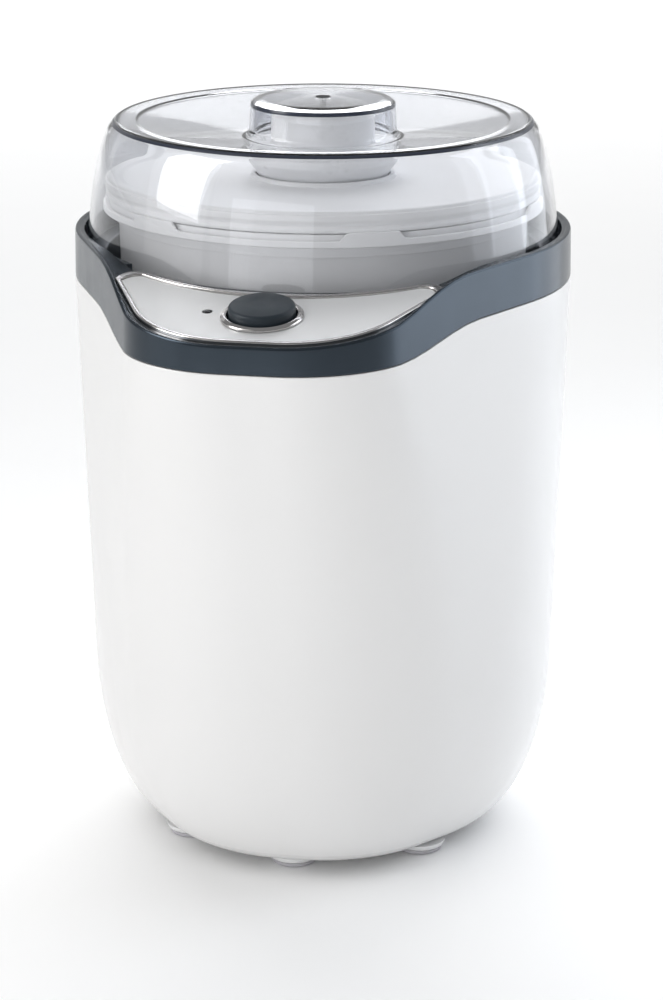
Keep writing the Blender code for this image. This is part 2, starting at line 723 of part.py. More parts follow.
# ------------------------------------------------------------------ freezer bowl and paddle
def bowl():
    r = BOWL_RADIUS
    low = r - 4.5
    shell = turned("bowl_shell",
                   [(0.0, 119.5), (17.0, 119.5), (19.0, 110.0), (low - 6.0, 110.0),
                    (low - 2.2, 114.0), (r - 2.2, BOWL_TOP_Z), (r, BOWL_TOP_Z),
                    (low, BOWL_BOTTOM_Z + 5.0), (low - 5.0, BOWL_BOTTOM_Z), (0.0, BOWL_BOTTOM_Z)],
                   ROUND, WHITE_SATIN, closed=False)
    combine(shell, rod("cut_hex_socket", HEX_RADIUS + 0.6, 11.0, sides=6,
                       location=(0.0, 0.0, BOWL_BOTTOM_Z - 1.0), cutter=True))
    turned("coolant_core",
           [(0.0, POT_FLOOR_Z - 2.2), (73.0, POT_FLOOR_Z - 2.2), (75.2, POT_FLOOR_Z),
            (78.6, BOWL_TOP_Z - 8.0), (r - 2.8, BOWL_TOP_Z - 8.0), (low - 2.8, 115.0),
            (low - 6.4, 110.6), (20.0, 110.6), (17.6, 120.0), (0.0, 120.0)],
           ROUND, GEL_BLUE, closed=False)
    turned("bowl_pot",
           [(0.0, POT_FLOOR_Z), (72.0, POT_FLOOR_Z), (73.4, POT_FLOOR_Z + 1.4),
            (77.0, BOWL_TOP_Z + 5.0), (80.4, BOWL_TOP_Z + 5.0), (80.4, BOWL_TOP_Z + 4.0),
            (78.2, BOWL_TOP_Z + 4.0), (74.8, POT_FLOOR_Z), (72.8, POT_FLOOR_Z - 1.8),
            (0.0, POT_FLOOR_Z - 1.8)],
           ROUND, ALUMINIUM, closed=False)


def tab_angles():
    """Angles round the rim with, for each, how far the locking tabs raise its lip."""
    angles = []
    for k in range(TAB_COUNT):
        centre = TAB_PHASE + 360.0 * k / TAB_COUNT
        flat = TAB_HALF - TAB_RAMP
        for offset, rise in ((-TAB_HALF, 0.0), (-flat, 1.0), (0.0, 1.0), (flat, 1.0),
                             (TAB_HALF, 0.0)):
            angles.append((centre + offset, rise))
        between = 360.0 / TAB_COUNT - 2 * TAB_HALF
        for i in range(1, 5):
            angles.append((centre + TAB_HALF + between * i / 5, 0.0))
    return angles


def bowl_rim():
    """Ring over the bowl's top: an outer lip with raised tabs and an inner bead."""
    z = FLANGE_Z
    rings = []
    for angle, rise in tab_angles():
        lift = TAB_RISE * rise
        section = [(FLANGE_RADIUS, z + 3.0 + lift), (FLANGE_RADIUS, z),
                   (89.0, z - 0.6), (89.0, BOWL_TOP_Z - 3.0), (BOWL_RADIUS + 0.35, BOWL_TOP_Z - 3.0),
                   (BOWL_RADIUS + 0.35, BOWL_TOP_Z + 0.4), (80.9, BOWL_TOP_Z + 0.4),
                   (80.9, z + 4.2), (82.4, z + 5.2), (91.8, z + 5.2), (92.0, z + 1.8),
                   (FLANGE_RADIUS - 1.6, z + 1.8), (FLANGE_RADIUS - 1.4, z + 3.0 + lift)]
        rings.append([(*polar(radius, angle), height) for radius, height in section])
    return loft("bowl_rim", rings, WHITE_SATIN, wrap=True)


def paddle():
    """Still blade with four windows, a hub and a six-sided stem that the inner lid holds."""
    width, height, low = PADDLE_WIDTH, PADDLE_HEIGHT, POT_FLOOR_Z + 1.8
    blade = block("paddle", (width, 4.0, height), GREY_PLASTIC, location=(0.0, 0.0, low + height / 2))
    for side in (-1, 1):
        for level, share in ((0, 0.0), (1, 0.5)):
            window = block("cut_window_%d_%d" % (side, level), (46.0, 12.0, 36.0),
                           location=(side * 36.0, 0.0, low + 28.0 + share * 88.0), cutter=True)
            combine(blade, window)
    hub = rod("join_hub", 7.0, height - 1.0, sides=SMALL, location=(0.0, 0.0, low + 0.5),
              cutter=True)
    combine(blade, hub, "UNION")
    stem = rod("join_stem", 6.3, PADDLE_TOP_Z - low - 40.0, sides=6, location=(0.0, 0.0, low + 40.0),
               cutter=True)
    combine(blade, stem, "UNION")
    return blade


# ------------------------------------------------------------------ lids
def inner_lid():
    r = INNER_LID_RADIUS
    profile = [(86.0, 292.2), (88.0, 293.4), (91.4, 293.8), (92.8, 292.6), (r, 291.6),
               (r, 289.6), (r - 1.3, 287.8), (r - 0.2, 286.6), (r - 0.6, 284.9), (90.4, 284.7),
               (86.6, 289.8), (29.0, 289.8), (29.0, 294.0), (31.0, 294.0), (31.4, 292.2)]
    return turned("inner_lid", profile, ROUND, WHITE_SATIN)


def paddle_socket():
    profile = [(2.2, 320.6), (BOSS_RADIUS - 2.0, 320.6), (BOSS_RADIUS, 318.8),
               (BOSS_RADIUS + 0.6, 303.6), (32.8, 303.0), (33.4, 300.0), (30.0, 296.6),
               (28.4, 294.0), (26.0, 287.6), (24.4, 286.8), (22.8, 287.4), (26.4, 296.0),
               (20.6, 300.0), (19.8, 318.4), (9.6, 318.4), (9.6, 287.0), (2.2, 287.0)]
    socket = turned("paddle_socket", profile, 24, CLOUDY)
    combine(socket, rod("cut_hex_drive", 7.0, 24.0, sides=6, location=(0.0, 0.0, 285.0),
                        cutter=True))
    return socket


def dome_lid():
    foot, rim, knob, top = DOME_FOOT_RADIUS, DOME_RIM_Z, KNOB_RADIUS, KNOB_TOP_Z
    outer = [(1.8, top - 1.2), (3.4, top - 0.2), (knob - 4.6, top - 0.4), (knob - 0.9, top - 2.4),
             (knob + 0.7, PLATE_Z + 1.4), (knob + 2.4, PLATE_Z), (79.4, rim - 0.9),
             (80.6, rim - 0.5), (88.6, rim), (90.6, rim - 1.4), (93.2, rim - 5.0),
             (95.0, rim - 9.6), (97.4, rim - 18.0), (100.0, rim - 32.0), (foot, DOME_FOOT_Z)]
    inner = [(foot - 2.0, DOME_FOOT_Z), (98.0, rim - 32.0), (95.3, rim - 18.4),
             (92.6, rim - 9.8), (90.2, rim - 4.6), (88.0, rim - 2.2), (80.2, rim - 2.8),
             (knob + 0.8, PLATE_Z - 2.1), (knob - 1.5, PLATE_Z + 0.4), (knob - 2.9, top - 3.4),
             (knob - 5.4, top - 2.4), (1.8, top - 2.2)]
    profile = outer + inner
    dome = turned("dome_lid", profile, ROUND, SMOKE_CLEAR)
    for i, angle in enumerate(LUG_ANGLES):
        lug = sector("join_lug_%d" % (i + 1), angle, 4.5,
                     [(98.4, 261.6), (101.4, 261.4), (101.2, 262.9), (98.4, 262.7)], cutter=True)
        combine(dome, lug, "UNION")
    return dome


def build_fasteners():
    for i, (x, y) in enumerate(post_places()):
        screw("base_screw_%d" % (i + 1), (x, y, BASE_Z + 1.3), length=10.0, shank=1.6,
              head=3.2, head_height=1.2)
    for i, (x, y) in enumerate(case_screw_places()):
        screw("gearbox_screw_%d" % (i + 1), (x, y, 88.3), length=8.0, shank=1.7)
    x, y = motor_place()
    for i, side in enumerate((-1, 1)):
        screw("motor_screw_%d" % (i + 1), (x + side * MOTOR_BOLT, y, CASE_FLOOR_Z + 2.3),
              length=5.6, shank=1.45, head=2.8, head_height=1.4, flip=True)
    turned("knob_screw",
           [(0.0, KNOB_TOP_Z + 0.2), (2.2, KNOB_TOP_Z + 0.1), (3.0, KNOB_TOP_Z),
            (1.4, KNOB_TOP_Z - 0.9), (1.4, 314.0), (0.0, 314.0)],
           SMALL, BLACK_PLASTIC, closed=False)


clear_scene()
PARTS = make_collection("ice_cream_maker")
CUTTERS = make_collection("cutters")

WHITE_GLOSS = make_material("white_gloss", (0.86, 0.86, 0.85), 0.3)
WHITE_SATIN = make_material("white_satin", (0.8, 0.8, 0.8), 0.45)
SLATE = make_material("slate", (0.055, 0.075, 0.09), 0.3)
PANEL_GREY = make_material("panel_grey", (0.55, 0.56, 0.57), 0.4)
CHROME = make_material("chrome", (0.75, 0.72, 0.7), 0.08, 1.0)
GREY_PLASTIC = make_material("grey_plastic", (0.42, 0.43, 0.44), 0.5)
CHARCOAL = make_material("charcoal", (0.06, 0.07, 0.08), 0.45)
BLACK_PLASTIC = make_material("black_plastic", (0.03, 0.03, 0.03), 0.5)
BOARD_GREEN = make_material("board_green", (0.03, 0.2, 0.08), 0.5)
LENS_DARK = make_material("lens_dark", (0.02, 0.02, 0.02), 0.15)
ACETAL = make_material("acetal", (0.82, 0.82, 0.78), 0.4)
BRASS = make_material("brass", (0.7, 0.5, 0.2), 0.3, 1.0)
STEEL = make_material("steel", (0.6, 0.6, 0.6), 0.35, 1.0)
COPPER = make_material("copper", (0.65, 0.3, 0.15), 0.4, 1.0)
RUBBER = make_material("rubber", (0.3, 0.3, 0.31), 0.8)
ALUMINIUM = make_material("aluminium", (0.7, 0.7, 0.7), 0.35, 1.0)
GEL_BLUE = make_material("gel_blue", (0.2, 0.45, 0.7), 0.4)
CLOUDY = make_material("cloudy_white", (0.8, 0.82, 0.84), 0.35)
SMOKE_CLEAR = make_material("smoke_clear", (0.6, 0.62, 0.65), 0.05)

body_shell()
cord_grommet()
base_plate()
feet()
collar()
control_panel()
panel_trim()
button_ring()
power_button()
button_spring()
power_switch()
circuit_board()
indicator_lens()
inner_well()
drive_bush()
turntable()
gear_train()
gearbox_case()
motor()
bowl()
bowl_rim()
paddle()
inner_lid()
paddle_socket()
dome_lid()
build_fasteners()
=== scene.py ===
"""Looks of a countertop ice cream maker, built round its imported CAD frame.

The coarse CAD solids that show are replaced by finer meshes of the same size, and every
piece gets a procedural material. Profiles are in millimetres from the bowl's axis.
"""
import math

import bmesh
import bpy
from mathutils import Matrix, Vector


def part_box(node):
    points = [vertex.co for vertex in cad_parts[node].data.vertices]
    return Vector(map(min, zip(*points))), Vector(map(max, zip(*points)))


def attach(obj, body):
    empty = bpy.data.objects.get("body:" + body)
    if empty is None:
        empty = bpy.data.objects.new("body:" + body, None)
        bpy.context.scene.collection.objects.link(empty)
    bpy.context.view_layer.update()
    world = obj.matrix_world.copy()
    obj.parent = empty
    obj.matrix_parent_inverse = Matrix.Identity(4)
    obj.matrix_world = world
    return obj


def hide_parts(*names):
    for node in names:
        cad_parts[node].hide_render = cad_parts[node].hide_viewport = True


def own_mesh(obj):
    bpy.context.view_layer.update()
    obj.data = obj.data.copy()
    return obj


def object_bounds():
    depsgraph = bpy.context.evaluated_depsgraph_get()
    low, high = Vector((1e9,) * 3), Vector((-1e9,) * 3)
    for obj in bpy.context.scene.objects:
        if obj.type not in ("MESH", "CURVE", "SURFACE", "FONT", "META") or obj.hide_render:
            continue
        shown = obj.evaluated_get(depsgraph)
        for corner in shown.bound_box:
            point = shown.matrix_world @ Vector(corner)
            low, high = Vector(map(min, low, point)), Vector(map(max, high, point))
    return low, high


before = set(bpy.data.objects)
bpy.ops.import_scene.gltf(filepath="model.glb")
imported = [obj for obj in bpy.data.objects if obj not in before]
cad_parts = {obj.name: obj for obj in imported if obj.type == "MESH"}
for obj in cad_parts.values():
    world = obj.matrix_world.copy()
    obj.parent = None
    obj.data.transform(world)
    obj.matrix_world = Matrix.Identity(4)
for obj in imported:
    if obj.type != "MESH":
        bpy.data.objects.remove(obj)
CAD_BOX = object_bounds()

MM = 0.001

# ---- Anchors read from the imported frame: AXIS_Y in metres, the others in millimetres ----
AXIS_Y = sum(corner.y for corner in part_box("dome_lid")) / 2
BODY_FRONT = (AXIS_Y - CAD_BOX[0].y) / MM
BODY_RADIUS = (CAD_BOX[1].y - AXIS_Y) / MM

# ---- Housing outline: a big circle with a smaller, blunt nose in front ----
NOSE_RADIUS = 52.0
NOSE_SPREAD = 10.0
NOSE_REACH = BODY_FRONT - NOSE_RADIUS
WAIST_RADIUS = 102.3
WAIST_NOSE_RADIUS = 86.0
WAIST_NOSE_SPREAD = 4.0
WAIST_NOSE_REACH = 22.0
NOSE_POINTS = 22
TANGENT_POINTS = 10
SIDE_POINTS = 34
NOSE_EASE = 1.2

# ---- Heights of the housing ----
BASE_Z = 5.0
WAIST_Z = 85.0
COLLAR_BOTTOM_Z = 249.8
COLLAR_NOSE_BOTTOM_Z = 241.8
COLLAR_TOP_Z = 270.0

# ---- Collar; its heights bend between nose and sides over ranges of Y ----
COLLAR_BORE = 103.2
DECK_THICK = 3.8
SKIRT = 6.0
SKIRT_SHARE = 0.963
BOTTOM_BEND = (-130.0, -80.0)
TOP_BEND = (-132.0, -82.0)
DECK_BEND = (-96.0, -60.0)

# ---- Walls of the housing ----
UNDERCUT = 32.0
SHELL_SPLIT = 20.0
SHELL_RINGS = 14
WALL_RINGS = 16
WALL = 2.5
LIP = 0.6
LIP_STEP = 0.15
GAP = 0.3
EDGE_RISE = 0.4

# ---- Base plate, its vents and screws, and the cord's outlet ----
PLATE_STEP = 0.05
PLATE_RINGS = 8
PLATE_THICK = 2.6
VENT_COUNT = 6
VENT_CIRCLE = 30.0
VENT_HALF_LENGTH = 13.0
VENT_HALF_WIDTH = 2.0
SCREW_CIRCLE = 64.0
SCREW_ANGLES = (62.0, 118.0, 242.0, 298.0)
OUTLET_RADIUS = 6.8
OUTLET_Y = 105.0
OUTLET_Z = 96.0
GROMMET_Y = 103.0
BACKWARD = -math.pi / 2
FOOT_COUNT = 6

# ---- Control panel ----
PANEL_TILT = math.radians(9.5)
BUTTON_Y = -127.0
BUTTON_Z = 257.9
POCKET_DEPTH = 1.7
TRIM_WIDTH = 2.0
TRIM_RISE = 0.8
PANEL_ARC = 104.8
PANEL_INSET = 4.0
PANEL_SWEEP = 34.0
SWEEP_SHRINK = 0.6
TIP_Y = -95.0
TIP_SHRINK = 0.4
TIP_PEAK_IN = 2.2
TIP_PEAK_BACK = 1.5
EDGE_STEPS = 8
TIP_STEPS = 12
ARC_STEPS = 30

# ---- Button and indicator light, square to the panel ----
BUTTON_RADIUS = 13.5
RING_RADIUS = 16.8
LENS_X = -23.0
LENS_Y = -124.0
LENS_Z = BUTTON_Z + math.tan(PANEL_TILT) * (LENS_Y - BUTTON_Y)
LENS_RADIUS = 1.9
BUTTON_AXIS = {"tilt": PANEL_TILT, "place": (0.0, BUTTON_Y, BUTTON_Z)}
LENS_AXIS = {"tilt": PANEL_TILT, "place": (LENS_X, LENS_Y, LENS_Z)}

# ---- Well, drive, bowl and lids; a hexagon's size is the radius to its corners ----
WELL_TOP_Z = 260.7
WELL_FLOOR_Z = 101.0
WELL_BEND_Z = 240.0
POST_TOP_Z = 98.8
POST_BOTTOM_Z = 8.0
TURNTABLE_Z = 107.0
SHAFT_BOTTOM_Z = 74.4
BOWL_HEX = 12.6
BOWL_HEX_Z = 116.5
SOCKET_HEX = 7.0
SOCKET_HEX_Z = 297.0
BOWL_BOTTOM_Z = 107.5
BOWL_TOP_Z = 277.0
BOWL_RADIUS = 88.3
FLANGE_RADIUS = 94.8
FLANGE_Z = 279.0
TAB_COUNT = 6
TAB_PHASE = 23.5
TAB_HALF = 8.4
TAB_RAMP = 1.9
TAB_RISE = 3.3
RIM_SECTIONS = 240
LUG_ANGLES = (-34.0, 86.0, 206.0)
LUG_TURN = -14.0
LUG_HALF = 4.5
HOOK_HALF = 4.0
POT_FLOOR_Z = 131.0
DOME_FOOT_RADIUS = 102.4
DOME_FOOT_Z = 261.2
DOME_RIM_Z = 316.6
PLATE_Z = 308.6
KNOB_RADIUS = 31.6
KNOB_TOP_Z = 325.4
SHANK_BOTTOM_Z = 314.0

# ---- Segments of round pieces, from large to small ----
ROUND_DOME = 160
ROUND = 128
ROUND_DISC = 96
ROUND_HOLE = 64
ROUND_SMALL = 48
ROUND_PIN = 32
HEXAGON = 6

# ---- Edges: angles in degrees, widths in millimetres ----
SHARP = 35.0
SHARP_ROUND = 40.0
SHARP_RING = 60.0
SHARP_DOME = 30.0
FILLET_LIMIT = 0.45
BEVEL_ANGLE = 40.0
NODE_BEVEL = 0.12
PADDLE_BEVEL = 0.5
NORMAL_WEIGHT = 60

# ---- Material detail: noise scales for each metre, and bump depths in metres ----
NOISE_LOW = 0.3
NOISE_HIGH = 0.7
TONE_SCALE = 14.0
GLOSS_SCALE = 90.0
MIN_ROUGHNESS = 0.01
GRAIN_DEPTH = 0.0002
ACRYLIC_IOR = 1.49
SMEAR_SCALE = 35.0
WAVE_SCALE = 30.0
WAVE_STRENGTH = 0.02
WAVE_DEPTH = 0.0004

# ---- Camera: degrees, metres, and the lens and its sensor in millimetres ----
CAMERA_AZIMUTH = 11.0
CAMERA_DISTANCE = 1.3372
CAMERA_HEIGHT = 0.5465
CAMERA_PITCH = 16.73
CAMERA_YAW = 0.155
CAMERA_LENS = 112.91
SENSOR_WIDTH = 36.0

# ---- Studio ----
FLOOR_REACH = 30.0
WORLD_STRENGTH = 0.25
WORLD_TINT = (0.97, 0.985, 1.0)
PLAIN = (1.0, 1.0, 1.0)
WARM = (1.0, 0.985, 0.96)
COOL = (0.9, 0.94, 1.0)
ALL, NO_GLOSS, GLOSS_ONLY = (True, True), (True, False), (False, True)
# name, (width, height) in m, watts, degrees from the camera's side, distance, height, aim,
# spread in degrees, (lights matt, shows in gloss), tint
SOFTBOXES = (
    ("left_side", (0.62, 1.1), 1.2, -76.0, 0.85, 0.55, 0.2, 180.0, ALL, WARM),
    ("left_shine", (0.45, 0.7), 4.8, -75.0, 0.83, 0.68, 0.3, 180.0, GLOSS_ONLY, PLAIN),
    ("left_front", (0.6, 1.5), 2.6, -45.0, 1.4, 0.8, 0.15, 180.0, NO_GLOSS, WARM),
    ("left_high", (1.2, 1.2), 3.0, -60.0, 1.6, 2.0, 0.15, 180.0, ALL, WARM),
    ("front_low", (1.2, 0.7), 7.2, -25.0, 1.6, 0.4, 0.25, 180.0, NO_GLOSS, PLAIN),
    ("right_side", (0.4, 0.9), 2.3, 100.0, 0.75, 0.45, 0.2, 180.0, ALL, COOL),
    ("right_back", (0.4, 0.9), 1.4, 122.0, 0.75, 0.45, 0.2, 180.0, ALL, COOL),
    ("right_shine", (0.3, 1.1), 0.8, 82.0, 1.2, 0.5, 0.2, 180.0, GLOSS_ONLY, COOL),
    ("near_floor", (1.6, 1.2), 1.4, 0.0, 0.95, 1.9, -1.9, 60.0, NO_GLOSS, PLAIN),
    ("far_floor", (7.0, 4.5), 315.0, 180.0, 4.8, 3.4, -1.0, 180.0, NO_GLOSS, PLAIN),
    ("back_card", (7.0, 3.2), 22.0, 180.0, 3.4, 1.7, 1.7, 180.0, ALL, PLAIN),
)


# ------------------------------------------------------------------ mesh helpers
def mix(first, second, share):
    return first + (second - first) * share


def ease(value, low, high):
    """Smooth step from 0 at low to 1 at high."""
    t = min(1.0, max(0.0, (value - low) / (high - low)))
    return t * t * (3.0 - 2.0 * t)


def polar(radius, degrees):
    """A point at an angle counted from the front, -Y, towards +X."""
    angle = math.radians(degrees)
    return radius * math.sin(angle), -radius * math.cos(angle)


def soften(corners, closed=True, steps=4):
    """Round a polyline's corners. Each corner is its coordinates followed by a radius."""
    points = []
    count = len(corners)
    for i, corner in enumerate(corners):
        here, radius = Vector(corner[:-1]), corner[-1]
        ends = not closed and i in (0, count - 1)
        if radius == 0 or ends:
            points.append(here)
            continue
        before = Vector(corners[i - 1][:-1]) - here
        after = Vector(corners[(i + 1) % count][:-1]) - here
        start = here + before * min(FILLET_LIMIT, radius / before.length)
        end = here + after * min(FILLET_LIMIT, radius / after.length)
        for step in range(steps + 1):
            t = step / steps
            points.append(start * (1 - t) ** 2 + here * 2 * t * (1 - t) + end * t ** 2)
    return points


def finish_mesh(name, vertices, faces, material, sharp):
    """Make an object of a mesh given in millimetres, with sharp edges over an angle."""
    mesh = bpy.data.meshes.new(name)
    mesh.from_pydata([(x * MM, y * MM, z * MM) for x, y, z in vertices], [], faces)
    shape = bmesh.new()
    shape.from_mesh(mesh)
    bmesh.ops.recalc_face_normals(shape, faces=shape.faces[:])
    shape.to_mesh(mesh)
    shape.free()
    mesh.shade_smooth()
    mesh.set_sharp_from_angle(angle=math.radians(sharp))
    piece = bpy.data.objects.new(name, mesh)
    bpy.context.scene.collection.objects.link(piece)
    if material:
        mesh.materials.append(material)
    return piece


def placed(piece, place=(0.0, 0.0, 0.0), tilt=0.0):
    """Move a new piece to a place given from the bowl's axis, and bake that into its mesh."""
    x, y, z = place
    piece.location = (x * MM, y * MM + AXIS_Y, z * MM)
    piece.rotation_euler = (tilt, 0.0, 0.0)
    bpy.context.view_layer.update()
    piece.data.transform(piece.matrix_world)
    piece.location = (0.0, 0.0, 0.0)
    piece.rotation_euler = (0.0, 0.0, 0.0)
    return piece


def revolve(name, corners, material=None, segments=ROUND, sharp=SHARP_ROUND, steps=4, **place):
    """Turn a profile of (radius, height, fillet) corners about Z."""
    closed = corners[0][0] > 0
    profile = soften(corners, closed, steps)
    vertices, rings = [], []
    for radius, height in profile:
        ring = []
        for i in range(segments if radius > 0 else 1):
            angle = math.tau * i / segments
            ring.append(len(vertices))
            vertices.append((radius * math.sin(angle), -radius * math.cos(angle), height))
        rings.append(ring if radius > 0 else ring * segments)
    pairs = list(zip(rings, rings[1:]))
    if closed:
        pairs.append((rings[-1], rings[0]))
    faces = []
    for upper, lower in pairs:
        for i in range(segments):
            j = (i + 1) % segments
            corner_list = [upper[i], upper[j], lower[j], lower[i]]
            face = [v for k, v in enumerate(corner_list) if v != corner_list[k - 1]]
            if len(set(face)) > 2:
                faces.append(face)
    return placed(finish_mesh(name, vertices, faces, material, sharp), **place)


def loft(name, rings, material=None, wrap=False, **place):
    """Join closed rings of the same number of points; wrap joins the last ring to the first."""
    count = len(rings[0])
    vertices = [tuple(point) for ring in rings for point in ring]
    faces = []
    for row in range(len(rings) if wrap else len(rings) - 1):
        low, high = row * count, (row + 1) % len(rings) * count
        for i in range(count):
            j = (i + 1) % count
            faces.append((low + i, low + j, high + j, high + i))
    if not wrap:
        faces.append(tuple(reversed(range(count))))
        faces.append(tuple(range(len(vertices) - count, len(vertices))))
    return placed(finish_mesh(name, vertices, faces, material, SHARP), **place)


def swept(name, sections, material):
    """A ring of closed sections, one for each station, of (x, y, z, fillet) corners."""
    return loft(name, [soften(section) for section in sections], material, wrap=True)


def cut(piece, tool, operation="DIFFERENCE"):
    """Apply a boolean at once and remove the tool."""
    step = piece.modifiers.new("cut", "BOOLEAN")
    step.operation = operation
    step.object = tool
    step.solver = "EXACT"
    graph = bpy.context.evaluated_depsgraph_get()
    result = bpy.data.meshes.new_from_object(piece.evaluated_get(graph))
    piece.modifiers.clear()
    piece.data = result
    result.shade_smooth()
    result.set_sharp_from_angle(angle=math.radians(SHARP))
    bpy.data.objects.remove(tool, do_unlink=True)


def drill(piece, radius, start, end, segments, **place):
    """Cut a straight hole between two heights along its own axis."""
    corners = [(0, start, 0), (radius, start, 0), (radius, end, 0), (0, end, 0)]
    cut(piece, revolve("drill_tool", corners, segments=segments, **place))


def round_edges(piece, width):
    """Bevel the sharp edges of a CAD node that stays."""
    edge = piece.modifiers.new("round_edges", "BEVEL")
    edge.width = width * MM
    edge.segments = 2
    edge.limit_method = "ANGLE"
    edge.angle_limit = math.radians(BEVEL_ANGLE)


def stands_for(piece, body, node):
    """Put a fine piece in place of a CAD node, on that node's body."""
    even = piece.modifiers.new("even_normals", "WEIGHTED_NORMAL")
    even.keep_sharp = True
    even.weight = NORMAL_WEIGHT
    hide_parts(node)
    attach(piece, body)


# ------------------------------------------------------------------ materials
class Nodes:
    """Small wrapper that makes and links shader nodes."""

    def __init__(self, name):
        self.material = bpy.data.materials.new(name)
        self.material.use_nodes = True
        self.tree = self.material.node_tree
        self.shader = self.tree.nodes["Principled BSDF"]
        self.output = self.tree.nodes["Material Output"]
        self.place = self.add("ShaderNodeTexCoord").outputs["Object"]

    def add(self, kind, **values):
        node = self.tree.nodes.new(kind)
        for key, value in values.items():
            setattr(node, key, value)
        return node

    def link(self, source, target):
        self.tree.links.new(source, target)

    def noise(self, scale, detail, roughness=0.5, stretch=None):
        node = self.add("ShaderNodeTexNoise")
        node.inputs["Scale"].default_value = scale
        node.inputs["Detail"].default_value = detail
        node.inputs["Roughness"].default_value = roughness
        source = self.place
        if stretch:
            mapping = self.add("ShaderNodeMapping")
            mapping.inputs["Scale"].default_value = stretch
            self.link(source, mapping.inputs["Vector"])
            source = mapping.outputs["Vector"]
        self.link(source, node.inputs["Vector"])
        return node.outputs["Fac"]

    def spread(self, source, low, high):
        """Map the middle of a noise's range to low and high."""
        node = self.add("ShaderNodeMapRange")
        node.inputs["From Min"].default_value = NOISE_LOW
        node.inputs["From Max"].default_value = NOISE_HIGH
        node.inputs["To Min"].default_value = low
        node.inputs["To Max"].default_value = high
        self.link(source, node.inputs["Value"])
        return node.outputs["Result"]

    def tint(self, source, first, second):
        node = self.add("ShaderNodeMix", data_type="RGBA")
        node.inputs["A"].default_value = (*first, 1.0)
        node.inputs["B"].default_value = (*second, 1.0)
        self.link(source, node.inputs["Factor"])
        self.link(node.outputs["Result"], self.shader.inputs["Base Color"])

    def bump(self, source, strength, distance):
        node = self.add("ShaderNodeBump")
        node.inputs["Strength"].default_value = strength
        node.inputs["Distance"].default_value = distance
        self.link(source, node.inputs["Height"])
        self.link(node.outputs["Normal"], self.shader.inputs["Normal"])


def surface(name, colour, roughness, grain=2500.0, bump=0.04, tone=0.02, metallic=0.0,
            stretch=None, spread=0.05, specular=0.5):
    """Moulded plastic, paint or metal with fine grain, slight tone and gloss variation."""
    nodes = Nodes(name)
    broad = nodes.spread(nodes.noise(TONE_SCALE, 2.0), 0.0, 1.0)
    nodes.tint(broad, [c * (1 - tone) for c in colour], [min(1.0, c * (1 + tone)) for c in colour])
    fine = nodes.noise(grain, 2.0, 0.6, stretch)
    gloss = nodes.spread(nodes.noise(GLOSS_SCALE, 4.0, 0.6, stretch),
                         max(MIN_ROUGHNESS, roughness - spread), roughness + spread)
    nodes.link(gloss, nodes.shader.inputs["Roughness"])
    nodes.bump(fine, bump, GRAIN_DEPTH)
    nodes.shader.inputs["Metallic"].default_value = metallic
    nodes.shader.inputs["Specular IOR Level"].default_value = specular
    return nodes.material


def clear(name, colour, roughness, passing):
    """Clear plastic that bends light and lets lamps through to what it covers."""
    nodes = Nodes(name)
    nodes.shader.inputs["Base Color"].default_value = (*colour, 1.0)
    nodes.shader.inputs["Transmission Weight"].default_value = 1.0
    nodes.shader.inputs["IOR"].default_value = ACRYLIC_IOR
    smear = nodes.noise(SMEAR_SCALE, 5.0, 0.65)
    nodes.link(nodes.spread(smear, roughness * 0.5, roughness * 1.8),
               nodes.shader.inputs["Roughness"])
    nodes.bump(nodes.noise(WAVE_SCALE, 1.0), WAVE_STRENGTH, WAVE_DEPTH)
    path = nodes.add("ShaderNodeLightPath")
    either = nodes.add("ShaderNodeMath", operation="MAXIMUM")
    nodes.link(path.outputs["Is Shadow Ray"], either.inputs[0])
    nodes.link(path.outputs["Is Diffuse Ray"], either.inputs[1])
    through = nodes.add("ShaderNodeBsdfTransparent")
    through.inputs["Color"].default_value = (*passing, 1.0)
    blend = nodes.add("ShaderNodeMixShader")
    nodes.link(either.outputs["Value"], blend.inputs["Fac"])
    nodes.link(nodes.shader.outputs["BSDF"], blend.inputs[1])
    nodes.link(through.outputs["BSDF"], blend.inputs[2])
    nodes.link(blend.outputs["Shader"], nodes.output.inputs["Surface"])
    return nodes.material


WHITE_BODY = surface("white_body", (0.79, 0.787, 0.785), 0.24, grain=3000.0, bump=0.02, tone=0.004,
                     spread=0.004)
WHITE_SATIN = surface("white_satin", (0.86, 0.86, 0.865), 0.4, tone=0.01)
# Painted light: the bowl's white is set lighter than the body's to stand in for light reaching the
# bowl in its shaded recess under the flange.
BOWL_WHITE_PAINTED_LIGHT = surface("bowl_white_painted_light", (0.96, 0.96, 0.965), 0.4, tone=0.008)
SLATE = surface("slate_gloss", (0.042, 0.055, 0.07), 0.24, grain=4500.0, bump=0.02, tone=0.05,
                metallic=0.8, spread=0.03)
BUTTON_SLATE = surface("slate_satin", (0.02, 0.028, 0.036), 0.42, grain=4200.0, bump=0.05,
                       tone=0.05, specular=0.3)
PANEL_SILVER = surface("panel_silver", (0.74, 0.745, 0.75), 0.32, grain=5000.0, bump=0.03,
                       tone=0.006, metallic=0.15, spread=0.015)
CHROME = surface("chrome_plate", (0.66, 0.64, 0.63), 0.06, grain=700.0, bump=0.01, tone=0.02,
                 metallic=1.0, spread=0.03)
CHARCOAL = surface("charcoal", (0.05, 0.06, 0.07), 0.4, tone=0.05)
PADDLE_PLASTIC = surface("paddle_plastic", (0.62, 0.63, 0.64), 0.45)
BLACK_PLASTIC = surface("black_plastic", (0.03, 0.03, 0.032), 0.5, bump=0.08)
BOARD_GREEN = surface("board_green", (0.03, 0.2, 0.08), 0.4, tone=0.15)
LENS_DARK = surface("lens_dark", (0.012, 0.012, 0.014), 0.1, bump=0.0, tone=0.05)
ACETAL = surface("acetal", (0.82, 0.82, 0.78), 0.38, tone=0.03)
BRASS = surface("brass", (0.7, 0.5, 0.2), 0.3, metallic=1.0, tone=0.06, stretch=(1, 1, 12))
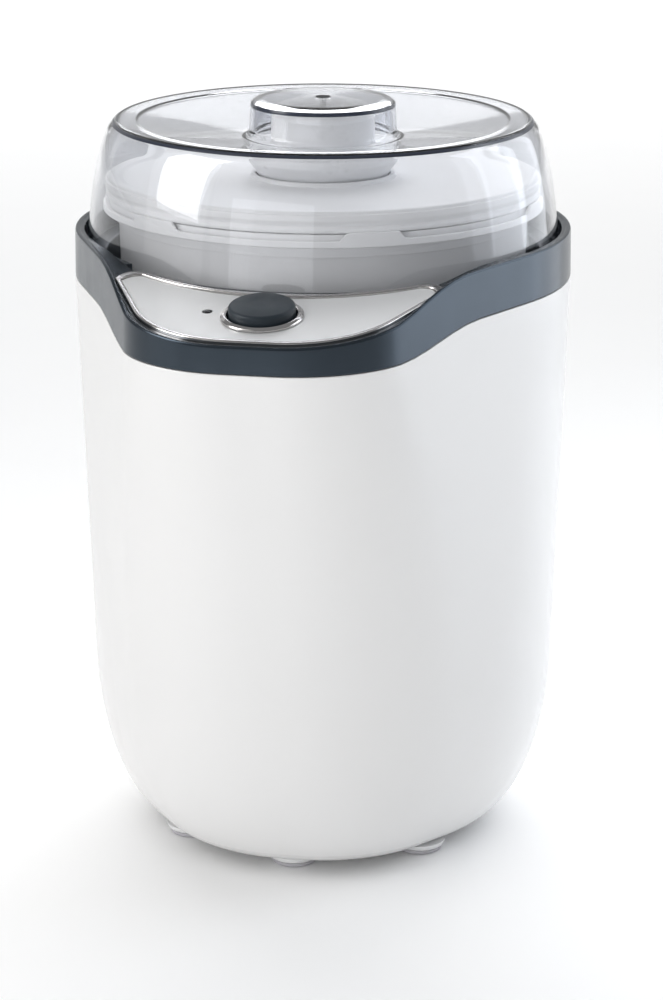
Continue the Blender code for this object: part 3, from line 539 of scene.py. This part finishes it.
STEEL = surface("steel", (0.6, 0.6, 0.61), 0.33, metallic=1.0, tone=0.05, stretch=(1, 1, 14))
COPPER = surface("copper_wire", (0.65, 0.3, 0.15), 0.4, metallic=1.0, tone=0.1)
RUBBER = surface("rubber", (0.5, 0.49, 0.52), 0.75, grain=1800.0, bump=0.12, tone=0.06)
ALUMINIUM = surface("spun_aluminium", (0.72, 0.72, 0.73), 0.32, metallic=1.0, tone=0.03,
                    stretch=(1, 1, 20), spread=0.08)
GEL_BLUE = surface("gel_blue", (0.2, 0.45, 0.7), 0.3, tone=0.1)
# Painted light: the socket's cloudy white is set lighter to stand in for the light inside the
# tinted dome.
CLOUDY_PAINTED_LIGHT = surface("cloudy_white", (0.88, 0.885, 0.9), 0.3, tone=0.01)
CLEAR = clear("clear_smoke", (0.72, 0.73, 0.755), 0.02, (1.0, 1.0, 1.0))
# Painted shade: dark rings that stand in for the dark refraction bands under the dome's rim crest
# and round the knob's edge.
PAINTED_REFRACTION_SHADE = surface("painted_refraction_shade", (0.03, 0.036, 0.055), 0.2, bump=0.0, tone=0.04)
# Painted light: the inner lid's white is set lighter to stand in for the light inside the tinted
# dome.
LID_WHITE_PAINTED_LIGHT = surface("lid_white_painted_light", (0.93, 0.93, 0.935), 0.38, tone=0.01)

NODE_MATERIALS = {
    "idler_pin": STEEL, "power_switch": BLACK_PLASTIC, "gearbox_case": BLACK_PLASTIC,
    "motor_cap": BLACK_PLASTIC, "circuit_board": BOARD_GREEN, "drive_bush": BRASS,
    "motor_pinion": BRASS, "output_gear": ACETAL, "idler_gear": ACETAL, "motor_rotor": COPPER,
    "coolant_core": GEL_BLUE, "motor_can": STEEL, "paddle": PADDLE_PLASTIC,
}


def dress_nodes():
    """Give each CAD node that stays its procedural material and rounded edges."""
    for name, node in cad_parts.items():
        material = STEEL if "screw" in name else NODE_MATERIALS.get(name)
        if material is None:
            continue
        for slot in node.material_slots:
            slot.material = material
        round_edges(node, PADDLE_BEVEL if name == "paddle" else NODE_BEVEL)


# ------------------------------------------------------------------ housing geometry
def plan(radius, nose, spread, reach, inset):
    """Outline of the housing, counter-clockwise from the front, moved in by inset."""
    tangent = math.atan2(spread, reach) + math.acos((radius - nose) / math.hypot(spread, reach))
    right = []
    for i in range(NOSE_POINTS + 1):
        angle = tangent * i / NOSE_POINTS
        right.append((spread + (nose - inset) * math.sin(angle),
                      -reach - (nose - inset) * math.cos(angle)))
    start = right[-1]
    end = ((radius - inset) * math.sin(tangent), -(radius - inset) * math.cos(tangent))
    for i in range(1, TANGENT_POINTS):
        share = i / TANGENT_POINTS
        right.append((mix(start[0], end[0], share), mix(start[1], end[1], share)))
    for i in range(SIDE_POINTS + 1):
        angle = mix(tangent, math.pi, i / SIDE_POINTS)
        right.append(((radius - inset) * math.sin(angle), -(radius - inset) * math.cos(angle)))
    left = [(-x, y) for x, y in reversed(right[:-1])]
    return right + left


def top_plan(inset=0.0):
    """Outline at the collar."""
    return plan(BODY_RADIUS, NOSE_RADIUS, NOSE_SPREAD, NOSE_REACH, inset)


def waist_plan(inset):
    """Outline where the wall meets the rounded undercut."""
    return plan(WAIST_RADIUS, WAIST_NOSE_RADIUS, WAIST_NOSE_SPREAD, WAIST_NOSE_REACH, inset)


def wall_plan(share, inset):
    """Outline between the waist, share 0, and the collar, share 1."""
    nose_share = share ** NOSE_EASE
    return plan(mix(WAIST_RADIUS, BODY_RADIUS, share),
                mix(WAIST_NOSE_RADIUS, NOSE_RADIUS, nose_share),
                mix(WAIST_NOSE_SPREAD, NOSE_SPREAD, nose_share),
                mix(WAIST_NOSE_REACH, NOSE_REACH, nose_share), inset)


def panel_plane(y):
    """Height of the panel's sloped face."""
    return BUTTON_Z + math.tan(PANEL_TILT) * (y - BUTTON_Y)


def collar_bottom(y):
    """Lower edge of the collar, which dips at the nose."""
    return mix(COLLAR_NOSE_BOTTOM_Z, COLLAR_BOTTOM_Z, ease(y, *BOTTOM_BEND))


def collar_top(y):
    """Upper edge of the collar: just over the panel in front, level at the sides."""
    return mix(panel_plane(y) + 0.3, COLLAR_TOP_Z, ease(y, *TOP_BEND))


def deck_height(y):
    """Top of the collar's deck: level with the panel in front, just under the rim at the sides."""
    return mix(panel_plane(y), COLLAR_TOP_Z - 0.4, ease(y, *DECK_BEND))


def undercut(drop):
    """Inset and height of the rounded lower edge; drop is 0 at the waist and 1 underneath."""
    angle = drop * math.pi / 2
    return UNDERCUT * (1.0 - math.cos(angle)), WAIST_Z - (WAIST_Z - BASE_Z) * math.sin(angle)


def undercut_drop(inset):
    """How far round the lower edge an inset lies."""
    return math.acos(1.0 - inset / UNDERCUT) * 2 / math.pi


def flat_ring(points, z):
    return [(x, y, z) for x, y in points]


def body_shell():
    """Tall hollow housing, from the split in its rounded lower edge up to the collar."""
    last = undercut_drop(SHELL_SPLIT)
    curve = [undercut(last * (1.0 - i / SHELL_RINGS)) for i in range(SHELL_RINGS)]
    outer = [flat_ring(waist_plan(inset), z) for inset, z in curve]
    inner = [flat_ring(waist_plan(inset + WALL), z + EDGE_RISE) for inset, z in curve]
    for i in range(WALL_RINGS + 1):
        share = i / WALL_RINGS
        for rings, inset, last_drop in ((outer, 0.0, LIP), (inner, WALL, 0.0)):
            drop = GAP + (last_drop if i == WALL_RINGS else 0.0)
            rings.append([(x, y, mix(WAIST_Z, collar_bottom(y) - drop, share))
                          for x, y in wall_plan(share, inset)])
    for inset, drop in ((LIP_STEP, LIP_STEP), (LIP, 0.0)):
        outer.append([(x, y, collar_bottom(y) - GAP - drop) for x, y in wall_plan(1.0, inset)])
    shell = loft("body_shell_fine", outer + inner[::-1], WHITE_BODY, wrap=True)
    drill(shell, OUTLET_RADIUS, -10.0, 10.0, ROUND_SMALL, place=(0.0, OUTLET_Y, OUTLET_Z),
          tilt=BACKWARD)
    stands_for(shell, "housing", "body_shell")


def base_plate():
    """Rounded bottom of the housing, with vents and countersunk screw holes."""
    first = undercut_drop(SHELL_SPLIT + PLATE_STEP)
    rings = []
    for i in range(PLATE_RINGS + 1):
        inset, z = undercut(mix(1.0, first, i / PLATE_RINGS))
        rings.append(flat_ring(waist_plan(inset), z))
    inset, z = undercut(first)
    rings.append(flat_ring(waist_plan(inset + PLATE_THICK), z + EDGE_RISE))
    rings.append(flat_ring(waist_plan(UNDERCUT + 1.0), BASE_Z + PLATE_THICK))
    plate = loft("base_plate_fine", rings, WHITE_BODY)
    for i in range(VENT_COUNT):
        cut(plate, slot_tool(VENT_HALF_LENGTH, VENT_HALF_WIDTH, VENT_CIRCLE,
                             360.0 / VENT_COUNT * (i + 0.5)))
    for x, y in screw_places():
        tool = revolve("screw_tool", [(0, 9, 0), (2.1, 9, 0), (2.1, 1.6, 0), (3.9, 1.6, 0),
                                      (3.9, -2, 0), (0, -2, 0)],
                       segments=ROUND_PIN, place=(x, y, BASE_Z))
        cut(plate, tool)
    stands_for(plate, "housing", "base_plate")


def screw_places():
    """Where the base screws stand, in the base plate and in the well's posts."""
    return [polar(SCREW_CIRCLE, angle) for angle in SCREW_ANGLES]


def slot_tool(half_length, half_width, circle, degrees):
    """A round-ended bar on a circle about the axis, which cuts a vent slot."""
    x, y = polar(circle, degrees)
    turn = math.radians(degrees)
    outline = []
    for side in (1, -1):
        for i in range(9):
            angle = math.pi * (i / 8 - 0.5)
            along = side * (half_length - half_width + half_width * math.cos(angle))
            across = side * half_width * math.sin(angle)
            outline.append((along * math.cos(turn) - across * math.sin(turn),
                            along * math.sin(turn) + across * math.cos(turn)))
    return loft("slot_tool", [flat_ring(outline, -5.0), flat_ring(outline, 5.0)],
                place=(x, y, BASE_Z))


def collar():
    """Band round the top, with a deck, a skirt inside the shell and the panel's pocket."""
    outer = top_plan()
    bore = [(x * COLLAR_BORE / math.hypot(x, y), y * COLLAR_BORE / math.hypot(x, y))
            for x, y in outer]
    lip = list(zip(top_plan(0.3), top_plan(1.9), top_plan(3.0)))
    under = list(zip(top_plan(4.05), wall_plan(SKIRT_SHARE, 4.0),
                     wall_plan(SKIRT_SHARE, WALL + GAP), top_plan(WALL + GAP)))
    sections = []
    for i, (x, y) in enumerate(outer):
        top, bottom, deck = collar_top(y), collar_bottom(y), deck_height(y)
        side, crest, ledge = lip[i]
        root, skirt_in, skirt_out, shoulder = under[i]
        sections.append([
            (x, y, bottom, 0.4),
            (*side, top, 1.3),
            (*crest, top, 0.7),
            (*ledge, min(deck, top - 0.2), 0.3),
            (*bore[i], deck, 0.5),
            (*bore[i], deck - DECK_THICK, 0.3),
            (*root, min(deck, top) - DECK_THICK, 0.3),
            (*skirt_in, bottom - SKIRT, 0.3),
            (*skirt_out, bottom - SKIRT, 0.3),
            (*shoulder, bottom, 0.1),
        ])
    part = swept("collar_fine", sections, SLATE)
    cut(part, half_moon("pocket_tool", 0.0, ((0.0, -POCKET_DEPTH), (0.0, 6.0))))
    for radius, axis in ((BUTTON_RADIUS + 0.7, BUTTON_AXIS), (LENS_RADIUS + 0.5, LENS_AXIS)):
        drill(part, radius, 15.0, -15.0, ROUND_HOLE, **axis)
    stands_for(part, "housing", "collar")


def half_moon_outline(inset):
    """The panel's outline, counter-clockwise: nose curve, rounded tips, arc round the dome."""
    arc = PANEL_ARC + inset
    side = top_plan(PANEL_INSET + inset)
    tip_y = TIP_Y - inset * TIP_SHRINK
    start, end = side[NOSE_POINTS], side[NOSE_POINTS + TANGENT_POINTS]
    reach = (tip_y - start[1]) / (end[1] - start[1])
    corner_out = (mix(start[0], end[0], reach), tip_y)
    edge = side[:NOSE_POINTS + 1]
    for i in range(1, EDGE_STEPS + 1):
        share = i / EDGE_STEPS
        edge.append((mix(start[0], corner_out[0], share), mix(start[1], corner_out[1], share)))
    sweep = PANEL_SWEEP - inset * SWEEP_SHRINK
    corner_in = polar(arc, sweep)
    peak = (corner_out[0] - TIP_PEAK_IN, corner_in[1] + TIP_PEAK_BACK - inset * TIP_SHRINK)
    tip = []
    for i in range(1, TIP_STEPS):
        t = i / TIP_STEPS
        tip.append(tuple(corner_out[k] * (1 - t) ** 2 + 2 * peak[k] * t * (1 - t)
                         + corner_in[k] * t * t for k in range(2)))
    inner = [polar(arc, sweep * (1 - i / ARC_STEPS)) for i in range(ARC_STEPS)]
    right = edge + tip + inner
    return right + [(0.0, -arc)] + [(-x, y) for x, y in reversed(right)]


def half_moon(name, inset, levels, material=None):
    """A plate with the panel's outline; levels are (extra inset, height over the plane)."""
    rings = [[(x, y, panel_plane(y) + level) for x, y in half_moon_outline(inset + extra)]
             for extra, level in levels]
    return loft(name, rings, material)


def control_panel():
    """Silver half-moon plate in the collar's pocket."""
    inset = GAP * 2 + TRIM_WIDTH
    levels = ((0.0, -POCKET_DEPTH + GAP), (0.0, -0.35), (0.1, -0.1), (0.35, 0.0))
    panel = half_moon("control_panel_fine", inset, levels, PANEL_SILVER)
    for radius, axis in ((RING_RADIUS - 1.7, BUTTON_AXIS), (LENS_RADIUS + 0.3, LENS_AXIS)):
        drill(panel, radius, 10.0, -10.0, ROUND_HOLE, **axis)
    stands_for(panel, "housing", "control_panel")


def panel_trim():
    """Thin chrome border between the panel and the collar."""
    corners = [(GAP, -POCKET_DEPTH + GAP, 0.1), (GAP, TRIM_RISE, 0.6),
               (GAP + TRIM_WIDTH, TRIM_RISE, 0.6), (GAP + TRIM_WIDTH, -POCKET_DEPTH + GAP, 0.1)]
    rings = [[(x, y, panel_plane(y) + level) for x, y in half_moon_outline(inset)]
             for inset, level in soften(corners)]
    trim = loft("panel_trim_fine", rings, CHROME, wrap=True)
    stands_for(trim, "housing", "panel_trim")


def button_parts():
    """Chrome ring, push button and indicator light, square to the panel."""
    inner = BUTTON_RADIUS + 0.6
    ring = revolve("button_ring_fine",
                   [(RING_RADIUS, 0.3, 0.1), (RING_RADIUS - 2.0, 0.3, 0.1),
                    (RING_RADIUS - 2.0, -1.2, 0.1), (inner, -1.2, 0.1), (inner, 1.6, 0.6),
                    (RING_RADIUS - 1.6, 2.0, 0.8), (RING_RADIUS, 1.1, 0.7)],
                   CHROME, ROUND_DISC, sharp=SHARP_RING, **BUTTON_AXIS)
    stands_for(ring, "housing", "button_ring")
    outer = BUTTON_RADIUS
    button = revolve("power_button_fine",
                     [(0, 6.0, 0), (outer * 0.55, 5.85, 2.0), (outer, 5.2, 1.5),
                      (outer, -2.0, 0.2), (outer - 1.6, -2.0, 0.2), (outer - 1.6, 3.2, 0.3),
                      (3.0, 3.2, 0.3), (3.0, -6.5, 0.3), (0, -6.5, 0)],
                     BUTTON_SLATE, ROUND_DISC, steps=5, **BUTTON_AXIS)
    stands_for(button, "button", "power_button")
    lens = revolve("indicator_lens_fine",
                   [(0, 0.5, 0), (LENS_RADIUS, 0.2, 0.5), (LENS_RADIUS, -5.0, 0.2), (0, -5.0, 0)],
                   LENS_DARK, ROUND_PIN, **LENS_AXIS)
    stands_for(lens, "housing", "indicator_lens")


def button_spring():
    """Round wire coil under the button, which shortens by the button's travel."""
    turns, radius, wire = 4, 5.2, 0.45
    low, high = -9.0, 2.9
    steps, sides = turns * 24, 12
    around = [math.tau * k / sides for k in range(sides)]
    rings = []
    for i in range(steps + 1):
        turn = 360.0 * turns * i / steps
        height = mix(low + wire, high - wire, i / steps)
        rings.append([(*polar(radius + wire * math.cos(side), turn),
                       height + wire * math.sin(side)) for side in around])
    spring = loft("button_spring_fine", rings, STEEL, **BUTTON_AXIS)
    stands_for(spring, "housing", "button_spring")
    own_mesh(spring)


def feet():
    """A cone foot with a soft pad over each of the CAD's pads."""
    for i in range(1, FOOT_COUNT + 1):
        low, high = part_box("foot_pad_%d" % i)
        x, y = (low.x + high.x) / 2 / MM, ((low.y + high.y) / 2 - AXIS_Y) / MM
        foot = revolve("foot_%d_fine" % i,
                       [(0, 4.7, 0), (11.6, 4.7, 0.3), (11.2, 3.6, 0.5), (10.4, 2.3, 0.4),
                        (0, 2.3, 0)], WHITE_SATIN, ROUND_SMALL, place=(x, y, 0.0))
        stands_for(foot, "housing", "foot_%d" % i)
        pad = revolve("foot_pad_%d_fine" % i,
                      [(0, 2.0, 0), (10.0, 2.0, 0.3), (9.8, 0.5, 0.6), (8.8, 0.0, 0.3),
                       (0, 0.0, 0)], RUBBER, ROUND_SMALL, place=(x, y, 0.0))
        stands_for(pad, "housing", "foot_pad_%d" % i)


# ------------------------------------------------------------------ bowl
def sector(name, angle, half_width, section):
    """A block with a (radius, height) section, swept round the axis on both sides of an angle."""
    rings = []
    for i in range(9):
        turn = angle + half_width * (i / 4 - 1.0)
        rings.append([(*polar(radius, turn), height) for radius, height in section])
    return loft(name, rings)


def bowl():
    """Outer wall with a hexagonal socket underneath, and the metal pot inside it."""
    high = BOWL_RADIUS
    low = high - 4.5
    shell = revolve("bowl_shell_fine",
                    [(0, 119.5, 0), (17.0, 119.5, 1.0), (19.0, 110.0, 0.5), (low - 6.0, 110.0, 3.0),
                     (low - 2.2, 114.0, 3.0), (high - 2.2, BOWL_TOP_Z, 0.3),
                     (high, BOWL_TOP_Z, 0.5), (low, BOWL_BOTTOM_Z + 5.0, 4.0),
                     (low - 5.0, BOWL_BOTTOM_Z, 3.0), (0, BOWL_BOTTOM_Z, 0)], BOWL_WHITE_PAINTED_LIGHT)
    drill(shell, BOWL_HEX, 1.0, -10.0, HEXAGON, place=(0.0, 0.0, BOWL_HEX_Z))
    stands_for(shell, "bowl", "bowl_shell")
    pot = revolve("bowl_pot_fine",
                  [(0, POT_FLOOR_Z, 0), (72.6, POT_FLOOR_Z, 5.0), (77.0, BOWL_TOP_Z + 5.0, 0.6),
                   (80.4, BOWL_TOP_Z + 5.0, 0.3), (80.4, BOWL_TOP_Z + 4.0, 0.3),
                   (78.2, BOWL_TOP_Z + 4.0, 0.3), (74.8, POT_FLOOR_Z, 1.0),
                   (72.8, POT_FLOOR_Z - 1.8, 1.0), (0, POT_FLOOR_Z - 1.8, 0)], ALUMINIUM)
    stands_for(pot, "bowl", "bowl_pot")


def tab_lift(offset):
    """Share of the tab's rise at an angle from its middle: flat top with short ramps."""
    return 1.0 - ease(abs(offset), TAB_HALF - TAB_RAMP, TAB_HALF)


def bowl_rim():
    """Ring over the bowl's top: an outer lip with raised tabs and an inner bead."""
    z = FLANGE_Z
    pitch = 360.0 / TAB_COUNT
    sections = []
    for i in range(RIM_SECTIONS):
        angle = 360.0 * i / RIM_SECTIONS
        offset = (angle - TAB_PHASE + pitch / 2) % pitch - pitch / 2
        lift = TAB_RISE * tab_lift(offset)
        section = [(FLANGE_RADIUS, z + 3.0 + lift, 0.5), (FLANGE_RADIUS, z, 0.6),
                   (89.0, z - 0.6, 0.5), (89.0, BOWL_TOP_Z - 3.0, 0.2),
                   (BOWL_RADIUS + 0.35, BOWL_TOP_Z - 3.0, 0.1),
                   (BOWL_RADIUS + 0.35, BOWL_TOP_Z + 0.4, 0.1), (80.9, BOWL_TOP_Z + 0.4, 0.1),
                   (80.9, z + 4.2, 0.4), (82.4, z + 5.2, 0.6), (91.8, z + 5.2, 0.4),
                   (92.0, z + 1.8, 0.2), (FLANGE_RADIUS - 1.6, z + 1.8, 0.2),
                   (FLANGE_RADIUS - 1.4, z + 3.0 + lift, 0.4)]
        sections.append([(*polar(radius, angle), height, fillet)
                         for radius, height, fillet in section])
    rim = swept("bowl_rim_fine", sections, BOWL_WHITE_PAINTED_LIGHT)
    stands_for(rim, "bowl", "bowl_rim")


def turntable():
    """Disc on a shaft, with a tapered hexagonal boss that drives the bowl."""
    top = TURNTABLE_Z
    disc = revolve("turntable_fine",
                   [(0, top, 0), (29.6, top, 1.0), (30.0, top - 3.5, 0.5), (10.0, top - 3.5, 2.0),
                    (5.0, 102.8, 0.5), (5.0, SHAFT_BOTTOM_Z, 0.8), (0, SHAFT_BOTTOM_Z, 0)],
                   ACETAL, ROUND_DISC)
    levels = ((12.0, top - 1.0), (11.1, top + 7.0), (10.4, top + 7.5))
    turns = [60.0 * i + 30.0 for i in range(HEXAGON)]
    boss = loft("hex_boss", [flat_ring([polar(radius, turn) for turn in turns], height)
                             for radius, height in levels])
    cut(disc, boss, "UNION")
    stands_for(disc, "turntable", "turntable")


def cord_grommet():
    """Flanged rubber sleeve at the back, with the hole the cord would go through."""
    grommet = revolve("cord_grommet_fine",
                      [(8.6, 2.0, 0.6), (8.6, 0.3, 0.2), (6.4, 0.3, 0.2), (6.4, -4.0, 0.2),
                       (7.6, -4.2, 0.4), (7.0, -5.8, 0.4), (4.0, -5.8, 0.4), (4.0, 2.0, 0.6)],
                      RUBBER, ROUND_HOLE, place=(0.0, GROMMET_Y, OUTLET_Z), tilt=BACKWARD)
    stands_for(grommet, "housing", "cord_grommet")


def inner_well():
    """Liner the bowl sits in, with hooks for the dome's lugs and posts for the base screws."""
    top, floor = WELL_TOP_Z, WELL_FLOOR_Z
    well = revolve("inner_well_fine",
                   [(102.5, top, 0.3), (102.5, top - 2.4, 0.3), (95.6, top - 2.4, 0.5),
                    (95.2, WELL_BEND_Z, 0), (91.0, floor + 6.0, 3.0), (86.0, floor - 2.8, 3.0),
                    (8.4, floor - 2.8, 0.3), (8.4, floor, 0.3), (84.5, floor, 3.0),
                    (88.8, floor + 7.0, 3.0), (93.0, WELL_BEND_Z, 0), (93.4, top, 1.0)], CHARCOAL)
    for angle in LUG_ANGLES:
        hook = sector("hook_tool", angle + LUG_TURN, HOOK_HALF,
                      [(96.4, 260.0), (97.6, 260.0), (97.6, 263.2), (99.0, 263.2), (99.0, 264.4),
                       (96.4, 264.4)])
        cut(well, hook, "UNION")
    for x, y in screw_places():
        post = revolve("post_tool", [(5.0, POST_TOP_Z, 0), (5.0, POST_BOTTOM_Z, 0.6),
                                     (2.0, POST_BOTTOM_Z, 0.2), (2.0, POST_TOP_Z, 0)],
                       segments=ROUND_PIN, place=(x, y, 0.0))
        cut(well, post, "UNION")
    stands_for(well, "housing", "inner_well")


# ------------------------------------------------------------------ lids
def inner_lid():
    """Ring-shaped lid with a stepped edge, which stands in the bowl's rim."""
    lid = revolve("inner_lid_fine",
                  [(86.0, 292.2, 0.6), (88.0, 293.4, 0.8), (91.0, 293.8, 0.6), (92.2, 293.4, 0.4),
                   (92.7, 292.4, 0.15), (93.6, 292.2, 0.3), (93.8, 289.6, 0.8),
                   (92.3, 287.6, 0.5), (93.6, 286.4, 0.7), (93.3, 284.8, 0.6), (90.4, 284.7, 0.5),
                   (86.6, 289.8, 0.8), (29.0, 289.8, 0.3), (29.0, 294.0, 0.5), (31.0, 294.0, 0.5),
                   (31.4, 292.2, 0.5)], LID_WHITE_PAINTED_LIGHT)
    stands_for(lid, "inner_lid", "inner_lid")


def paddle_socket():
    """Cup in the middle of the inner lid, with a hexagonal hole for the paddle's stem."""
    socket = revolve("paddle_socket_fine",
                     [(2.2, 320.6, 0.3), (20.0, 320.6, 1.0), (22.0, 318.8, 1.5),
                      (22.6, 303.6, 0.6), (32.8, 303.0, 0.8), (33.4, 300.0, 0.8),
                      (30.0, 296.6, 2.0), (28.4, 294.0, 1.0), (26.0, 287.6, 1.0),
                      (24.4, 286.8, 0.8), (22.8, 287.4, 0.6), (26.4, 296.0, 1.0),
                      (20.6, 300.0, 1.0), (19.8, 318.4, 0.8), (9.6, 318.4, 0.8),
                      (9.6, 287.0, 0.5), (2.2, 287.0, 0.3)], CLOUDY_PAINTED_LIGHT, ROUND_DISC)
    drill(socket, SOCKET_HEX, 12.0, -12.0, HEXAGON, place=(0.0, 0.0, SOCKET_HEX_Z))
    stands_for(socket, "inner_lid", "paddle_socket")


def dome_lid():
    """Clear dome with its lugs, dark rings of painted shade for the refraction bands at the rim and
    the knob's edge, and the knob's screw.
    """
    foot, rim, knob, top = DOME_FOOT_RADIUS, DOME_RIM_Z, KNOB_RADIUS, KNOB_TOP_Z
    corners = [(1.8, top - 1.2, 0.2), (3.4, top - 0.2, 0.3), (knob - 3.0, top - 0.5, 2.0),
               (knob - 0.6, top - 2.2, 1.6), (knob + 0.3, PLATE_Z + 2.4, 1.0),
               (knob + 2.4, PLATE_Z, 1.2), (79.4, rim - 0.9, 0.6), (80.6, rim - 0.5, 0.4),
               (88.9, rim, 0.7), (92.4, rim - 3.4, 2.0), (94.8, rim - 9.0, 4.0),
               (97.4, rim - 18.0, 6.0), (100.0, rim - 32.0, 8.0), (foot, DOME_FOOT_Z, 0.5),
               (foot - 2.0, DOME_FOOT_Z, 0.5), (98.0, rim - 32.0, 8.0), (95.3, rim - 18.4, 6.0),
               (92.6, rim - 9.8, 4.0), (90.2, rim - 4.6, 1.6), (88.0, rim - 2.2, 0.8),
               (80.2, rim - 2.8, 0.5), (knob + 0.8, PLATE_Z - 2.1, 1.0),
               (knob - 1.7, PLATE_Z + 1.2, 1.0), (knob - 2.6, top - 3.2, 1.6),
               (knob - 5.0, top - 2.5, 1.0), (1.8, top - 2.4, 0.2)]
    dome = revolve("dome_lid_fine", corners, CLEAR, ROUND_DOME, sharp=SHARP_DOME, steps=5)
    for angle in LUG_ANGLES:
        lug = sector("lug_tool", angle, LUG_HALF,
                     [(98.6, 261.6), (101.4, 261.4), (101.2, 262.9), (98.6, 262.7)])
        cut(dome, lug, "UNION")
    stands_for(dome, "dome", "dome_lid")
    # Rings of painted shade standing in for the dark refraction bands under the rim's crest and at
    # the knob's edge.
    edges = {"dome_painted_shade_band": [(89.4, rim - 0.6), (89.9, rim - 0.8), (90.8, rim - 1.8),
                           (90.4, rim - 2.0)],
             "knob_painted_shade_band": [(knob - 1.0, top - 2.3), (knob - 0.6, top - 2.4),
                           (knob - 0.4, top - 3.9), (knob - 0.8, top - 3.9)]}
    for name, corners in edges.items():
        ring = revolve(name, [(*corner, 0.1) for corner in corners], PAINTED_REFRACTION_SHADE, ROUND_DOME)
        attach(ring, "dome")
    screw = revolve("knob_screw_fine",
                    [(0, top + 0.2, 0), (2.6, top + 0.1, 0.4), (3.0, top, 0.1),
                     (2.4, top - 0.9, 0.2), (0, top - 0.9, 0)], BLACK_PLASTIC, ROUND_SMALL)
    shank = revolve("knob_screw_shank", [(0, top - 0.95, 0), (1.4, top - 0.95, 0.2),
                                         (1.4, SHANK_BOTTOM_Z, 0.4), (0, SHANK_BOTTOM_Z, 0)],
                    CLOUDY_PAINTED_LIGHT, ROUND_PIN)
    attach(shank, "dome")
    stands_for(screw, "dome", "knob_screw")


# ------------------------------------------------------------------ studio
def area_light(name, size, power, azimuth, distance, height, target, spread, seen, colour):
    """A softbox at an azimuth counted from the front, aimed at a height on the origin's axis."""
    data = bpy.data.lights.new(name, "AREA")
    data.shape = "RECTANGLE"
    data.size, data.size_y = size
    data.energy = power
    data.color = colour
    data.spread = math.radians(spread)
    light = bpy.data.objects.new(name, data)
    bpy.context.scene.collection.objects.link(light)
    x, y = polar(distance, azimuth)
    light.location = (x, y, height)
    aim = Vector((0.0, 0.0, target)) - light.location
    light.rotation_euler = aim.to_track_quat("-Z", "Y").to_euler()
    light.visible_diffuse, light.visible_glossy = seen
    light.visible_camera = False


def studio():
    """Pale floor, faint world light and the softboxes, turned with the camera."""
    floor_mesh = bpy.data.meshes.new("floor")
    reach = FLOOR_REACH
    floor_mesh.from_pydata([(-reach, -reach, 0), (reach, -reach, 0), (reach, reach, 0),
                            (-reach, reach, 0)], [], [(0, 1, 2, 3)])
    floor = bpy.data.objects.new("floor", floor_mesh)
    bpy.context.scene.collection.objects.link(floor)
    floor_mesh.materials.append(surface("floor_white", (0.97, 0.97, 0.97), 0.55, grain=800.0,
                                        bump=0.01, tone=0.003, specular=0.2))
    world = bpy.data.worlds.new("studio")
    world.use_nodes = True
    background = world.node_tree.nodes["Background"]
    background.inputs["Color"].default_value = (*WORLD_TINT, 1.0)
    background.inputs["Strength"].default_value = WORLD_STRENGTH
    bpy.context.scene.world = world
    for name, size, power, turn, *others in SOFTBOXES:
        area_light(name, size, power, CAMERA_AZIMUTH + turn, *others)


def camera():
    """The viewing camera, looking down at the front."""
    data = bpy.data.cameras.new("camera")
    data.lens = CAMERA_LENS
    data.sensor_width = SENSOR_WIDTH
    view = bpy.data.objects.new("camera", data)
    bpy.context.scene.collection.objects.link(view)
    x, y = polar(CAMERA_DISTANCE, CAMERA_AZIMUTH)
    view.location = (x, y + AXIS_Y, CAMERA_HEIGHT)
    view.rotation_euler = (math.radians(90.0 - CAMERA_PITCH), 0.0,
                           math.radians(CAMERA_AZIMUTH - CAMERA_YAW))
    bpy.context.scene.camera = view


camera()
studio()
bpy.context.scene.view_settings.view_transform = "Standard"

dress_nodes()
body_shell()
base_plate()
collar()
control_panel()
panel_trim()
button_parts()
button_spring()
feet()
bowl()
bowl_rim()
turntable()
cord_grommet()
inner_well()
inner_lid()
paddle_socket()
dome_lid()
